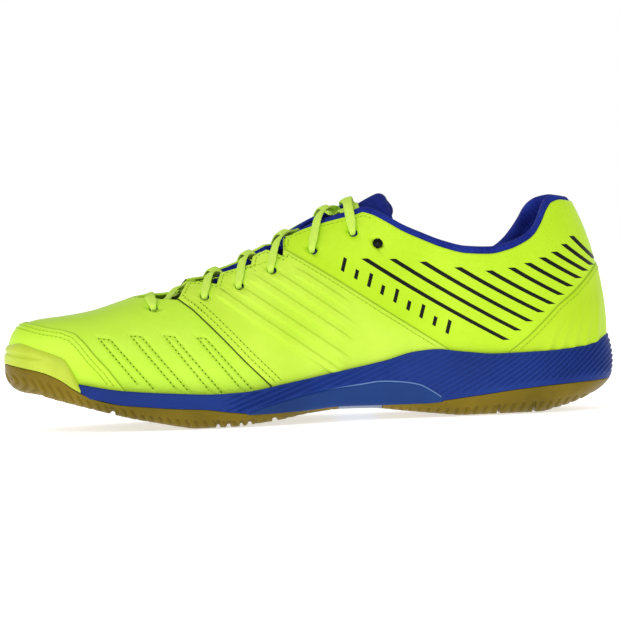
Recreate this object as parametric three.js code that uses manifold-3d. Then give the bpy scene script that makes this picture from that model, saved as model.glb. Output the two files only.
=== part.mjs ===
// A right-foot indoor court shoe, as an assembly of its separate pieces.
// Millimetres, +Z up. While it is built, X runs from the toe tip (0) to the heel back, medial is -Y
// and lateral is +Y. The last lines move the origin to the centre of the footprint, on the ground.
import * as THREE from "three";
import { mergeVertices } from "three/addons/utils/BufferGeometryUtils.js";
import Module from "manifold-3d";

const wasm = await Module();
wasm.setup();

// ---------------------------------------------------------------- driving dimensions

const SHOE_LENGTH = 292; // toe bumper to midsole back
const STATIONS = 48; // points round each ring of the sole and the upper
const GAP = 0.3; // air between pieces that touch on the real shoe
const MEDIAL = -1;
const LATERAL = 1;

const LEATHER = 1.6; // upper panels, backing included
const LINING = 1.2;
const BOARD = 1.6; // strobel board
const SOCKLINER = 4.2;
const UPPER_INSET = 3.4; // upper's widest line, in from the sole's
const FEATHER_TUCK = 2.0; // how far the upper draws in again down to the board
const LINING_SHOWS = 3; // lining beside the throat, and beyond it
const RIM = 3.3; // height of the blue roll above the yellow top line

const EYELET_RADIUS = 2.2;
const LACE_RADIUS = 1.25;
const AGLET_RADIUS = 1.5;
const AGLET_LENGTH = 18;

// ---------------------------------------------------------------- curves

/** Smooth curve y(x) through the points, with no overshoot: a flat stretch stays exactly flat. */
function curve(points) {
  const steps = points.slice(1).map((p, i) => (p[1] - points[i][1]) / (p[0] - points[i][0]));
  const slopes = points.map((_, i) => {
    if (i === 0) return steps[0];
    if (i === points.length - 1) return steps[i - 1];
    const [a, b] = [steps[i - 1], steps[i]];
    return a * b <= 0 ? 0 : (2 * a * b) / (a + b);
  });
  return (x) => {
    if (x <= points[0][0]) return points[0][1];
    const last = points.length - 1;
    if (x >= points[last][0]) return points[last][1];
    const i = points.findIndex((p) => p[0] > x) - 1;
    const h = points[i + 1][0] - points[i][0];
    const t = (x - points[i][0]) / h;
    const [t2, t3] = [t * t, t * t * t];
    return (
      (2 * t3 - 3 * t2 + 1) * points[i][1] +
      (t3 - 2 * t2 + t) * h * slopes[i] +
      (3 * t2 - 2 * t3) * points[i + 1][1] +
      (t3 - t2) * h * slopes[i + 1]
    );
  };
}

const smooth = (a, b, x) => {
  const t = THREE.MathUtils.clamp((x - a) / (b - a), 0, 1);
  return t * t * (3 - 2 * t);
};

// The footprint: a centreline and a half width, closed by superellipses at the toe and the heel.
const TOE_ROUND = 70;
const HEEL_ROUND = 42;
const centreY = curve([[0, -7], [40, -2.5], [80, -0.5], [120, 1.8], [150, 3.7], [180, 4], [220, 2], [260, 0.3], [292, 0]]);
const halfWidth = curve([[0, 38], [20, 42], [40, 45.4], [60, 47.9], [82, 50], [100, 50.5], [120, 49.2], [140, 45.3], [160, 41], [180, 38], [200, 36.5], [220, 36.3], [250, 36], [275, 34.6], [292, 34]]);
const endRound = (t, n) => (t >= 1 ? 1 : Math.pow(Math.max(0, 1 - Math.pow(1 - t, n)), 1 / n));

/** The footprint at angle phi: 0 is the toe tip, pi the heel back, medial first. */
function footprint(phi) {
  const x = (SHOE_LENGTH * (1 - Math.cos(phi))) / 2;
  const w = halfWidth(x) * endRound(x / TOE_ROUND, 2.3) * endRound((SHOE_LENGTH - x) / HEEL_ROUND, 2.2);
  return new THREE.Vector2(x, centreY(x) + (Math.sin(phi) < 0 ? w : -w));
}

/** The footprint drawn in by inset, square to its edge. */
function insetFootprint(phi, inset) {
  const step = 1e-3;
  const p = footprint(phi);
  const t = footprint(phi + step).sub(footprint(phi - step)).normalize();
  return p.addScaledVector(new THREE.Vector2(-t.y, t.x), inset);
}

const sideOf = (phi) => (Math.sin(phi) < 0 ? LATERAL : MEDIAL);
const angles = Array.from({ length: STATIONS }, (_, i) => (2 * Math.PI * i) / STATIONS);

// Heights along the shoe.
const groundZ = curve([[0, 18.6], [10, 17.9], [18.5, 15.8], [30, 13], [45, 9.2], [59, 5.7], [73, 2.9], [82, 1.1], [90, 0], [109, 0], [118, 0.8], [131, 2.1], [145, 4.4], [160, 5.6], [175, 5.2], [190, 3.2], [205, 1.2], [218, 0], [256, 0], [266, 1.1], [292, 3]]);
const gumTopZ = curve([[0, 33], [8.8, 31], [18.5, 28.6], [26.6, 24.8], [31.4, 21.4], [36, 18.6], [43, 15.5], [54, 12.8], [66, 11.4], [80, 10], [95, 8.9], [106, 7.2], [118, 6.1], [140, 6.5], [160, 7.6], [180, 7.2], [198, 7.2], [221, 9.2], [245, 11.9], [262, 13.2], [292, 14.4]]);
const bumperTopZ = curve([[0, 42], [5, 43], [14, 40.6], [25, 36.9], [28, 35.2], [30, 32.3], [31.7, 28.5], [34, 23.6], [36.6, 18.9]]);
const medialRimZ = curve([[0, 30], [34.6, 23], [54.6, 19.4], [77.6, 17.3], [100, 16], [112, 16.3], [135, 19.6], [158, 23.6], [182, 28.1], [194, 31.3], [205, 32.2], [217, 30.7], [234, 29], [257, 29.3], [280, 31], [292, 35.5]]);
const lateralRimZ = curve([[0, 30], [34.6, 23], [54.6, 19.4], [77.6, 17.3], [100, 16], [112, 16.3], [135, 18.8], [158, 21.9], [182, 25.2], [205, 27.6], [234, 28.6], [257, 29.3], [280, 31], [292, 35.5]]);
const rimZ = (x, side) => (side === MEDIAL ? medialRimZ(x) : lateralRimZ(x));
const footbedZ = curve([[0, 31], [12, 28], [30, 22.6], [50, 16.8], [70, 13.4], [90, 12], [110, 12], [130, 13.2], [150, 15.4], [175, 18.4], [200, 21.2], [225, 22.8], [292, 24]]);
const ridgeZ = curve([[0, 51.5], [12, 53], [30, 54.4], [42, 56.2], [54, 59.6], [66, 63.4], [84, 68.8], [103, 75], [120, 83], [135, 90.8], [144, 96.2], [156, 102], [169, 108], [182, 114], [197, 119], [217, 121], [292, 118]]);
const widestZ = curve([[0, 39.5], [20, 37], [45, 31.5], [70, 28.5], [100, 28], [130, 31.5], [160, 36.5], [200, 38.5], [292, 39.5]]);
const ridgeY = curve([[0, -7], [60, -5.5], [100, -4], [140, -2.4], [180, -0.8], [292, 0]]);

// ---------------------------------------------------------------- the upper's outer surface

const TOE_FAN = 30; // the toe's rays meet this far behind the toe tip
const TOE_FAN_END = 75;
const HEEL_FAN = 43; // the heel's rays meet this far before the heel back
const HEEL_FAN_START = 206;
const widthPower = curve([[0, 5], [15, 4], [35, 3], [60, 2.4], [90, 2.1], [120, 2], [240, 2], [292, 2.2]]);
const heightPower = curve([[0, 2], [40, 1.9], [70, 1.55], [110, 1.5], [140, 1.7], [292, 1.7]]);

/** Where on the ridge the ray from the footprint at x ends. */
function ridgeX(x) {
  if (x < TOE_FAN_END) return x + TOE_FAN * Math.pow(1 - x / TOE_FAN_END, TOE_FAN_END / TOE_FAN);
  if (x < HEEL_FAN_START) return x;
  const t = (x - HEEL_FAN_START) / (SHOE_LENGTH - HEEL_FAN_START);
  return x - HEEL_FAN * t * t;
}

/** The surface at angle phi and level v: -1 at the board, 0 at the widest line, 1 on the ridge. */
function upperPoint(phi, v) {
  const foot = footprint(phi);
  const wide = insetFootprint(phi, UPPER_INSET);
  const ridge = new THREE.Vector2(ridgeX(foot.x), ridgeY(foot.x));
  const low = widestZ(foot.x);
  if (v < 0) {
    const p = insetFootprint(phi, UPPER_INSET + FEATHER_TUCK * v * v);
    return new THREE.Vector3(p.x, p.y, THREE.MathUtils.lerp(low, footbedZ(p.x) + GAP, -v));
  }
  const angle = (v * Math.PI) / 2;
  const out = Math.pow(Math.max(0, Math.cos(angle)), 2 / widthPower(foot.x));
  const up = Math.pow(Math.sin(angle), 2 / heightPower(foot.x));
  const p = ridge.lerp(wide, v >= 1 ? 0 : out);
  return new THREE.Vector3(p.x, p.y, low + (ridgeZ(p.x) - low) * up);
}

/** The same point moved in by depth, square to the surface. */
function upperInside(phi, v, depth) {
  const step = 2e-3;
  const vv = Math.min(v, 0.995);
  const along = upperPoint(phi + step, vv).sub(upperPoint(phi - step, vv));
  const up = upperPoint(phi, Math.min(vv + step, 0.9995)).sub(upperPoint(phi, vv - step));
  const normal = along.cross(up).normalize();
  const p = upperPoint(phi, v);
  const d = typeof depth === "function" ? depth(p.x, p.z, sideOf(phi)) : depth;
  return v <= -1 ? p.addScaledVector(normal.setZ(0).normalize(), -d) : p.addScaledVector(normal, -d);
}

/** Height and outward normal of the surface over plan point (x, y), between the two fans. */
function upperOver(x, y) {
  const height = (px, py) => {
    const phi = Math.acos(1 - (2 * px) / SHOE_LENGTH) * (py > ridgeY(px) ? -1 : 1);
    const wide = insetFootprint(phi, UPPER_INSET);
    const share = Math.min(0.999, Math.abs((py - ridgeY(px)) / (wide.y - ridgeY(px))));
    const up = Math.pow(1 - Math.pow(share, widthPower(px)), 1 / heightPower(px));
    return widestZ(px) + (ridgeZ(px) - widestZ(px)) * up;
  };
  const h = 0.4;
  const normal = new THREE.Vector3(
    (height(x - h, y) - height(x + h, y)) / (2 * h),
    (height(x, y - h) - height(x, y + h)) / (2 * h),
    1,
  ).normalize();
  return { point: new THREE.Vector3(x, y, height(x, y)), normal };
}

/** A point lifted off the surface over (x, y); a negative lift goes inside. */
const offUpper = (x, y, lift) => {
  const { point, normal } = upperOver(x, y);
  return point.addScaledVector(normal, lift);
};

/** The plan y of the surface at (x, z) on one side, between the two fans. */
function upperYAt(x, z, side) {
  let [near, far] = [0, 0.995];
  const wide = insetFootprint(Math.acos(1 - (2 * x) / SHOE_LENGTH) * -side, UPPER_INSET);
  const at = (share) => ridgeY(x) + share * (wide.y - ridgeY(x));
  for (let i = 0; i < 30; i++) {
    const middle = (near + far) / 2;
    if (upperOver(x, at(middle)).point.z > z) near = middle;
    else far = middle;
  }
  return at(near);
}

// ---------------------------------------------------------------- solids

/** A closed geometry from vertices and quads or triangles given as index lists. */
function geometryOf(vertices, faces) {
  const index = faces.flatMap((f) => (f.length === 4 ? [f[0], f[1], f[2], f[0], f[2], f[3]] : f));
  const g = new THREE.BufferGeometry().setFromPoints(vertices);
  g.setIndex(index);
  return mergeVertices(g, 1e-3);
}

/** Joins rings of equal length into one solid. Point i and its mirror across the shoe close the ends. */
function ringGeometry(rings) {
  const n = rings[0].length;
  const faces = [];
  rings.slice(1).forEach((_, r) => {
    for (let i = 0; i < n; i++) {
      const j = (i + 1) % n;
      faces.push([r * n + i, r * n + j, (r + 1) * n + j, (r + 1) * n + i]);
    }
  });
  const top = (rings.length - 1) * n;
  for (let i = 0; i < n / 2; i++) {
    const [a, b, c, d] = [i, i + 1, (n - i - 1) % n, (n - i) % n];
    faces.push([a, d, c, b]);
    faces.push([top + a, top + b, top + c, top + d]);
  }
  return geometryOf(rings.flat(), faces);
}

/** Closes two grids of points, outer and inner, into one sheet of material. */
function sheetGeometry(outer, inner) {
  const [rows, columns] = [outer.length, outer[0].length];
  const size = rows * columns;
  const faces = [];
  const at = (r, c) => r * columns + c;
  for (let r = 0; r < rows - 1; r++)
    for (let c = 0; c < columns - 1; c++) {
      faces.push([at(r, c), at(r, c + 1), at(r + 1, c + 1), at(r + 1, c)]);
      faces.push([size + at(r, c), size + at(r + 1, c), size + at(r + 1, c + 1), size + at(r, c + 1)]);
    }
  const edge = (a, b) => faces.push([b, a, size + a, size + b]);
  for (let c = 0; c < columns - 1; c++) {
    edge(at(0, c), at(0, c + 1));
    edge(at(rows - 1, c + 1), at(rows - 1, c));
  }
  for (let r = 0; r < rows - 1; r++) {
    edge(at(r + 1, 0), at(r, 0));
    edge(at(r, columns - 1), at(r + 1, columns - 1));
  }
  return geometryOf([...outer.flat(), ...inner.flat()], faces);
}

/** A manifold solid from a closed geometry, turned right way out. */
function solid(geometry) {
  const plain = geometry.clone();
  for (const name of Object.keys(plain.attributes)) if (name !== "position") plain.deleteAttribute(name);
  const merged = mergeVertices(plain, 1e-3);
  const positions = merged.attributes.position.array;
  const keep = [];
  const index = merged.index.array;
  for (let i = 0; i < index.length; i += 3) {
    const [a, b, c] = [index[i], index[i + 1], index[i + 2]];
    if (a !== b && b !== c && a !== c) keep.push(a, b, c);
  }
  const make = (triVerts) => new wasm.Manifold(new wasm.Mesh({ numProp: 3, vertProperties: positions, triVerts }));
  const made = make(new Uint32Array(keep));
  if (made.volume() > 0) return made;
  const turned = keep.slice();
  for (let i = 0; i < turned.length; i += 3) [turned[i + 1], turned[i + 2]] = [turned[i + 2], turned[i + 1]];
  return make(new Uint32Array(turned));
}

/** The largest body of a cut, as a three.js geometry: slivers that a cut leaves over are dropped. */
function geometryFrom(manifold) {
  const bodies = manifold.decompose().sort((a, b) => b.volume() - a.volume());
  const mesh = bodies[0].getMesh();
  const g = new THREE.BufferGeometry();
  g.setAttribute("position", new THREE.BufferAttribute(new Float32Array(mesh.vertProperties), 3));
  g.setIndex(new THREE.BufferAttribute(new Uint32Array(mesh.triVerts), 1));
  return g;
}

/** A prism from an outline in side view (x, z), between two values of y. */
function sidePrism(points, fromY, toY) {
  const shape = new THREE.Shape(points.map(([x, z]) => new THREE.Vector2(x, z)));
  const g = new THREE.ExtrudeGeometry(shape, { depth: toY - fromY, bevelEnabled: false });
  return solid(g.rotateX(Math.PI / 2).translate(0, toY, 0));
}

/** A prism from an outline in plan (x, y), between two heights. */
function planPrism(points, fromZ, toZ) {
  const shape = new THREE.Shape(points.map(([x, y]) => new THREE.Vector2(x, y)));
  const g = new THREE.ExtrudeGeometry(shape, { depth: toZ - fromZ, bevelEnabled: false });
  return solid(g.translate(0, 0, fromZ));
}

const WIDE = 90; // beyond any part of the shoe, sideways
const HIGH = 160; // and upwards

// ---------------------------------------------------------------- the sole unit

const edgeRun = curve([[0, 10], [25, 7], [60, 5], [200, 5], [250, 8], [280, 16], [292, 19]]);
const edgeRise = curve([[0, 10], [25, 8], [60, 5.5], [200, 5.5], [250, 8], [292, 13]]);
const bellyBelow = curve([[0, 1], [60, 0.8], [120, 1.2], [200, 2.6], [260, 4], [292, 9]]);
const bellyAbove = curve([[0, 0.5], [60, 0.5], [120, 0.8], [200, 1.2], [260, 1.4], [292, 2]]);

/** How far the sole's side wall lies inside the footprint, at height share t of the wall. */
function wallInset(x, z, top) {
  const bottom = groundZ(x);
  const below = Math.max(0, 1 - (z - bottom) / edgeRise(x));
  const rounding = edgeRun(x) * (1 - Math.sqrt(Math.max(0, 1 - below * below)));
  const middle = bottom + 0.62 * (top - bottom);
  const away = (z - middle) / (top - bottom);
  const belly = away < 0 ? bellyBelow(x) * Math.pow(away / 0.62, 2) : bellyAbove(x) * Math.pow(away / 0.38, 2);
  return rounding + belly;
}

/** One ring of the sole's side wall, with its height from a function of (x, side). */
function wallRing(heightAt, extra = 0, bottomExtra = 0) {
  return angles.map((phi) => {
    const x = footprint(phi).x;
    const top = Math.max(rimZ(x, sideOf(phi)), bumperTopZ(x));
    const z = heightAt(x, sideOf(phi));
    const p = insetFootprint(phi, wallInset(x, z, top) + extra);
    return new THREE.Vector3(p.x, p.y, z + bottomExtra);
  });
}

const between = (low, high, t) => (x, side) => THREE.MathUtils.lerp(low(x, side), high(x, side), t);
const soleTopZ = (x, side) => Math.max(rimZ(x, side), bumperTopZ(x));
const midsoleBottomZ = curve([[0, 26.5], [18.5, 21.6], [30, 18.2], [38, 16.2], [43, 15.5], [54, 12.8], [66, 11.4], [80, 10], [95, 8.9], [106, 7.2], [118, 6.1], [140, 6.5], [160, 7.6], [180, 7.2], [198, 7.2], [221, 9.2], [245, 11.9], [262, 13.2], [292, 14.4]]);
const toeWall = curve([[0, 3], [30, 3], [37, 0.4], [40, 0], [292, 0]]); // rubber outside the midsole at the toe

/** The outer shape of the midsole, grown by grow to make the room that it sits in. */
function midsoleBody(grow) {
  const rings = [0, 0.3, 0.65, 1].map((t) =>
    angles.map((phi) => {
      const x = footprint(phi).x;
      const top = soleTopZ(x, sideOf(phi));
      const low = midsoleBottomZ(x);
      const high = rimZ(x, sideOf(phi));
      const z = THREE.MathUtils.lerp(low, high, t);
      const p = insetFootprint(phi, wallInset(x, z, top) + toeWall(x) - (toeWall(x) > 0.3 ? grow : 0));
      return new THREE.Vector3(p.x, p.y, z + (t === 0 ? -grow : grow * t));
    }),
  );
  return solid(ringGeometry(rings));
}

/** Everything inside the upper's outer surface moved in by depth, down to the board. */
const LEVELS = [-1, -0.5, 0, 0.16, 0.32, 0.48, 0.63, 0.77, 0.89, 1];
function upperBody(depth, floor = 0) {
  const rings = LEVELS.map((v) =>
    angles.map((phi) => {
      const p = upperInside(phi, v, depth);
      if (v === -1) p.z = footbedZ(p.x) + floor;
      return p;
    }),
  );
  const ridge = rings[rings.length - 1];
  for (let i = 1; i < STATIONS / 2; i++) ridge[STATIONS - i].copy(ridge[i]);
  return solid(ringGeometry(rings));
}

const upperRoom = upperBody(-GAP, 0);
const gumTopGap = (x) => gumTopZ(x) - GAP / 2;
const outsoleHull = solid(ringGeometry([0, 0.25, 0.55, 1].map((t) => wallRing(between(groundZ, gumTopGap, t * t * 0.4 + t * 0.6)))));
const midsoleRoom = midsoleBody(GAP);
const gumAll = outsoleHull.subtract(midsoleRoom).subtract(upperRoom);

const SHANK_FROM = 142; // bottom opening between the two outsoles, at the arch
const SHANK_TO = 190;

function makeOutsoles() {
  const front = sidePrism([[-20, -5], [SHANK_FROM, -5], [SHANK_FROM - 4, 40], [-20, 60]], -WIDE, WIDE);
  const back = sidePrism([[SHANK_TO, -5], [320, -5], [320, 60], [SHANK_TO + 4, 40]], -WIDE, WIDE);
  return [gumAll.intersect(front), gumAll.intersect(back)];
}

/** The clear plate that bridges the arch between the outsoles. */
function makeShank() {
  const inner = sidePrism([[SHANK_FROM + GAP, -5], [SHANK_TO - GAP, -5], [SHANK_TO + 3.5, 40], [SHANK_FROM - 3.5, 40]], -WIDE, WIDE);
  return gumAll.intersect(inner);
}

/** The yellow rubber guard round the toe, above the gum. */
function makeBumper() {
  const reach = Math.acos(1 - (2 * 35.6) / SHOE_LENGTH);
  const columns = 19;
  const rows = [0, 0.33, 0.66, 1];
  const grid = (depth) =>
    rows.map((t) =>
      Array.from({ length: columns }, (_, c) => {
        const phi = reach * (1 - (2 * c) / (columns - 1));
        const x = footprint(phi).x;
        const z = THREE.MathUtils.lerp(gumTopZ(x) + GAP + 0.1, bumperTopZ(x), t);
        const lip = 2.2 * Math.pow(t, 6);
        const p = insetFootprint(phi, wallInset(x, z, bumperTopZ(x)) + lip + depth);
        return new THREE.Vector3(p.x, p.y, z);
      }),
    );
  return solid(sheetGeometry(grid(0), grid(5))).subtract(midsoleRoom).subtract(upperRoom);
}

const midsoleWhole = midsoleBody(0).subtract(upperRoom);
const INSERT = { x: 250, length: 46, width: 38, depth: 9 };

/** A soft cushioning pad let into the top of the midsole under the heel. */
function makeHeelPad(grow) {
  const shape = new THREE.Shape();
  shape.absellipse(INSERT.x, 0.6, INSERT.length / 2 + grow, INSERT.width / 2 + grow, 0, Math.PI * 2);
  const top = footbedZ(INSERT.x) - 0.9;
  const g = new THREE.ExtrudeGeometry(shape, { depth: INSERT.depth + (grow ? 6 : 0), bevelEnabled: false, curveSegments: 8 });
  return solid(g.translate(0, 0, top - INSERT.depth - grow));
}

const floorInset = curve([[0, 10.6], [48, 10.6], [64, 9.2], [170, 9.2], [205, 11], [292, 11]]);

/** A flat layer on the footbed: how far inside the lining, its low and high face above the footbed. */
function makeFloorLayer(inset, low, high) {
  const ring = (lift, extra) =>
    angles.map((phi) => {
      const p = insetFootprint(phi, floorInset(footprint(phi).x) + inset + extra);
      return new THREE.Vector3(p.x, p.y, footbedZ(p.x) + lift(p.x));
    });
  return solid(ringGeometry([ring(low, 0.6), ring(high, 0)]));
}

// ---------------------------------------------------------------- lines on the upper, in side view

const toplineMedial = [[150, 140], [168.7, 100.6], [178.4, 97], [184.3, 93.6], [192, 88.8], [199.8, 85], [211, 80.1], [222, 77.1], [233, 76.4], [241.2, 77.9], [249.8, 81.4], [254.3, 84.6], [258.4, 90.4], [261.4, 96.2], [264.3, 99.6], [268, 100.6], [275, 99.6], [300, 99]];
const toplineLateral = [[150, 140], [168.7, 100.6], [178.4, 96.4], [184.3, 92], [192, 86], [199.8, 81.6], [211, 76.5], [222, 73.4], [233, 73.2], [239, 75.6], [243.5, 79.2], [247, 83.4], [251, 89], [254, 94], [257, 97.2], [261, 99.4], [268, 100.6], [275, 99.6], [300, 99]];
const toplineOf = (side) => (side === MEDIAL ? toplineMedial : toplineLateral);
const toplineZ = { [MEDIAL]: curve(toplineMedial), [LATERAL]: curve(toplineLateral) };

/** Everything above the top line on both sides, raised by lift. */
function aboveTopline(lift) {
  const half = (side) => {
    const line = toplineOf(side).map(([x, z]) => [x, z + lift]);
    const outline = [...line, [320, HIGH + 20], [150, HIGH + 20]];
    return side === MEDIAL ? sidePrism(outline, -WIDE, 0.01) : sidePrism(outline, 0, WIDE);
  };
  return half(MEDIAL).add(half(LATERAL));
}

// The throat: the half width of the gap between the eyelet tabs, stepped where one tab ends under the next.
const throatHalf = [[62, 0], [63.5, 4.5], [68, 7.5], [76, 9], [84, 10], [91, 14], [97, 17.5], [102.8, 21.5], [103.2, 14.5], [110, 16], [119.6, 18.5], [120, 14.2], [127, 14.2], [130, 17], [134.6, 21.5], [135.2, 12.4], [144, 13], [156, 14.2], [169, 15.4], [186, 15.4]];

/** The throat's opening in plan, drawn in by narrower where the lining shows beside the leather. */
function throatPrism(narrower) {
  const half = (x, h) => Math.max(0, h - (x > 138 ? narrower * smooth(138, 150, x) : 0));
  const medial = throatHalf.map(([x, h]) => [x, ridgeY(x) - half(x, h)]);
  const lateral = throatHalf.map(([x, h]) => [x, ridgeY(x) + half(x, h)]).reverse();
  return planPrism([...medial, ...lateral.slice(0, -1)], 40, HIGH);
}

const EYELETS = [[71.7, 57.4], [96.4, 61.4], [113.1, 65.8], [128.9, 72.6], [148.8, 81.4], [168.5, 89], [179.8, 83.2]];
const SIDES = [MEDIAL, LATERAL];
const eyeletXY = (k, side) => [EYELETS[k][0], upperYAt(EYELETS[k][0], EYELETS[k][1], side)];

/** A short round cutter through the upper at each eyelet. */
function eyeletHoles() {
  let all = null;
  for (const side of SIDES)
    for (let k = 0; k < EYELETS.length; k++) {
      const { point, normal } = upperOver(...eyeletXY(k, side));
      const g = new THREE.CylinderGeometry(EYELET_RADIUS, EYELET_RADIUS, 12, 8);
      g.applyQuaternion(new THREE.Quaternion().setFromUnitVectors(new THREE.Vector3(0, 1, 0), normal));
      g.translate(point.x, point.y, point.z);
      const hole = solid(g);
      all = all ? all.add(hole) : hole;
    }
  return all;
}

// Seams, from the throat or top line down to the sole, as lines in side view.
const TOECAP_SEAM = [[-10, 53.2], [12.6, 51.4], [20.4, 49.6], [29.5, 48], [34.4, 46.2], [38.2, 42.6], [43, 36.4], [49, 29.6], [56, 20], [64, 8]];
const HEM = [[76, 80], [80, 64], [84, 61.5], [90.5, 55.6], [97.6, 48.4], [104.6, 41], [113.9, 30.7], [125.7, 18.6], [136, 6]];
const QUARTER_SEAM = [[135.4, 100], [135.6, 82], [141.8, 78.2], [158, 67.8], [182, 51.4], [199.7, 39.6], [211, 32], [240, 10]];
const HEEL_SEAM = [[218, 8], [240.5, 29.8], [248.7, 35.9], [256.4, 42.9], [264, 50.5], [271.7, 56.2], [278.5, 62.5], [283, 67.4], [300, 84]];

/** The region behind a seam line, starting gap behind it. */
function behind(line, gap) {
  const moved = line.map(([x, z]) => [x + gap, z]);
  return sidePrism([...moved, [330, -20], [330, HIGH]], -WIDE, WIDE);
}

const behindX = (x) => behind([[x, HIGH], [x, -20]], 0);

// ---------------------------------------------------------------- the upper's pieces

const opening = aboveTopline(0).add(throatPrism(0));
const holes = eyeletHoles();
const skin = upperBody(0, GAP).subtract(upperBody(LEATHER, -2)).subtract(opening).subtract(holes);

function splitSkin() {
  const toecapBack = sidePrism([...TOECAP_SEAM, [64, -20], [-20, -20], [-20, 53.2]], -WIDE, WIDE);
  const toecapBackGrown = sidePrism([[-20, 53.5], ...TOECAP_SEAM.map(([x, z]) => [x + GAP, z + GAP]), [64.3, -20], [-20, -20]], -WIDE, WIDE);
  const fromHem = behind(HEM, 0);
  const fromHemGap = behind(HEM, -GAP);
  const fromQuarter = behind(QUARTER_SEAM, 0);
  const fromQuarterGap = behind(QUARTER_SEAM, -GAP);
  const heelLine = [...HEEL_SEAM, [330, 84], [330, -20], [218, -20]];
  const heelZone = sidePrism(heelLine, -WIDE, WIDE);
  const heelZoneGrown = sidePrism(heelLine.map(([x, z]) => [x - GAP, z + GAP]), -WIDE, WIDE);
  const half = { [MEDIAL]: planPrism([[-20, -WIDE], [330, -WIDE], [330, -GAP / 2], [-20, -GAP / 2]], -10, HIGH), [LATERAL]: planPrism([[-20, GAP / 2], [330, GAP / 2], [330, WIDE], [-20, WIDE]], -10, HIGH) };
  const pieces = {
    toe_cap: skin.intersect(toecapBack),
    vamp: skin.subtract(toecapBackGrown).subtract(fromHemGap),
    heel_panel: skin.intersect(heelZone),
  };
  for (const side of SIDES) {
    const name = side === MEDIAL ? "medial" : "lateral";
    pieces[name + "_midfoot_panel"] = skin.intersect(fromHem).subtract(fromQuarterGap).intersect(half[side]);
    pieces[name + "_quarter"] = skin.intersect(fromQuarter).subtract(heelZoneGrown).intersect(half[side]);
  }
  return pieces;
}

const padDepth = (x) => smooth(172, 204, x);

/** Depth of the lining's outer face: over the toe puff, over the heel counter, and over the collar foam. */
function liningDepth(x, z, side) {
  const puff = 1.5 * (1 - smooth(46, 58, x));
  const counter = 1.7 * smooth(172, 210, x);
  const top = toplineZ[side](THREE.MathUtils.clamp(x, 170, 274));
  const pad = 3.2 * padDepth(x) * smooth(top - 30, top - 10, z);
  return LEATHER + GAP + puff + counter + pad;
}

function makeLinings() {
  const outer = upperBody(liningDepth, GAP);
  const inner = upperBody((x, z, side) => liningDepth(x, z, side) + LINING, -2);
  const wall = outer.subtract(inner).subtract(aboveTopline(1)).subtract(throatPrism(LINING_SHOWS)).subtract(holes);
  const rollBlock = upperBody(0.3).subtract(inner);
  const roll = rollBlock.subtract(aboveTopline(RIM)).intersect(aboveTopline(GAP)).intersect(behindX(168.8));
  const front = wall.subtract(behindX(101.7));
  const rear = wall.intersect(behindX(102)).add(roll.subtract(throatPrism(LINING_SHOWS)));
  return { vamp_lining: front, collar_lining: rear };
}

const linings = makeLinings();

function makeFoam() {
  const outer = upperBody(LEATHER + GAP);
  const inner = upperBody((x, z, side) => liningDepth(x, z, side) - GAP);
  const zone = aboveTopline(-24).subtract(aboveTopline(-0.4)).intersect(behindX(190));
  const ring = outer.subtract(inner).intersect(zone);
  return ring.subtract(linings.collar_lining);
}

function makeHeelCounter() {
  const ring = upperBody(LEATHER + GAP).subtract(upperBody(LEATHER + GAP + 1.3));
  const outline = [[226, 28], [232, 44], [244, 51.5], [262, 54.5], [320, 55.5], [320, 28]];
  return ring.intersect(sidePrism(outline, -WIDE, WIDE));
}

function makeToePuff() {
  const ring = upperBody(LEATHER + GAP).subtract(upperBody(LEATHER + GAP + 1.1));
  return ring.intersect(sidePrism([[-20, 32], [30, 32], [43, 42], [46, 80], [-20, 80]], -WIDE, WIDE));
}

// ---------------------------------------------------------------- the tongue

const TONGUE_FROM = 66;
const tongueHalf = curve([[66, 13], [90, 21], [120, 25], [150, 25], [172, 23.4], [196, 20]]);
const tongueDepth = curve([[66, 7.6], [88, 10.4], [105, 11.8], [125, 11], [142, 9.4], [160, 7.6], [174, 6.3], [182, 6.4], [196, 6.2]]);
const tongueDroop = 2.2; // how much lower than that its long edges lie
const tongueThick = curve([[66, 1.4], [90, 2.4], [130, 3], [168, 5.4], [182, 5.2], [196, 2.6]]);

/** One layer of the tongue, between two depths below its top face, given as functions of x. */
function makeTongueLayer(from, to, short) {
  const [rows, columns] = [16, 9];
  const grid = (depth) =>
    Array.from({ length: rows }, (_, r) =>
      Array.from({ length: columns }, (_, c) => {
        const a = (2 * c) / (columns - 1) - 1;
        const end = 179.8 - short + 10 * Math.pow(Math.abs(a), 1.2);
        const x = THREE.MathUtils.lerp(TONGUE_FROM + short, end, r / (rows - 1));
        const droop = tongueDroop * Math.pow(Math.abs(a), 1.5) * smooth(150, 165, x);
        return offUpper(x, ridgeY(x) + a * (tongueHalf(x) - short), -(tongueDepth(x) + droop + depth(x)));
      }),
    );
  return solid(sheetGeometry(grid(from), grid(to)));
}

// ---------------------------------------------------------------- the lace

const LACE_UNDER = -(LEATHER + GAP + LINING + GAP + LACE_RADIUS + 0.35); // under the lining
const LACE_OVER = LACE_RADIUS + 0.4; // on the leather

/** The half width of the throat at x. */
function throatEdge(x) {
  const i = throatHalf.findIndex((p) => p[0] > x);
  const [a, b] = [throatHalf[i - 1], throatHalf[i]];
  return a[1] + ((b[1] - a[1]) * (x - a[0])) / (b[0] - a[0]);
}

/** The straight way in plan from one place to another, as a point on it at share t with a lift. */
const way = (from, to, sway = 0) => (t, lift) => {
  const x = THREE.MathUtils.lerp(from[0], to[0], t) - sway * Math.sin(Math.PI * t);
  return offUpper(x, THREE.MathUtils.lerp(from[1], to[1], t), lift);
};

// How far below the upper's full round the crossings hang, pulled straight from tab to tab.
const sag = curve([[66, 0], [88, 3.4], [105, 5.4], [122, 4.4], [138, 2.8], [155, 0.8], [170, 0.8]]);

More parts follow.
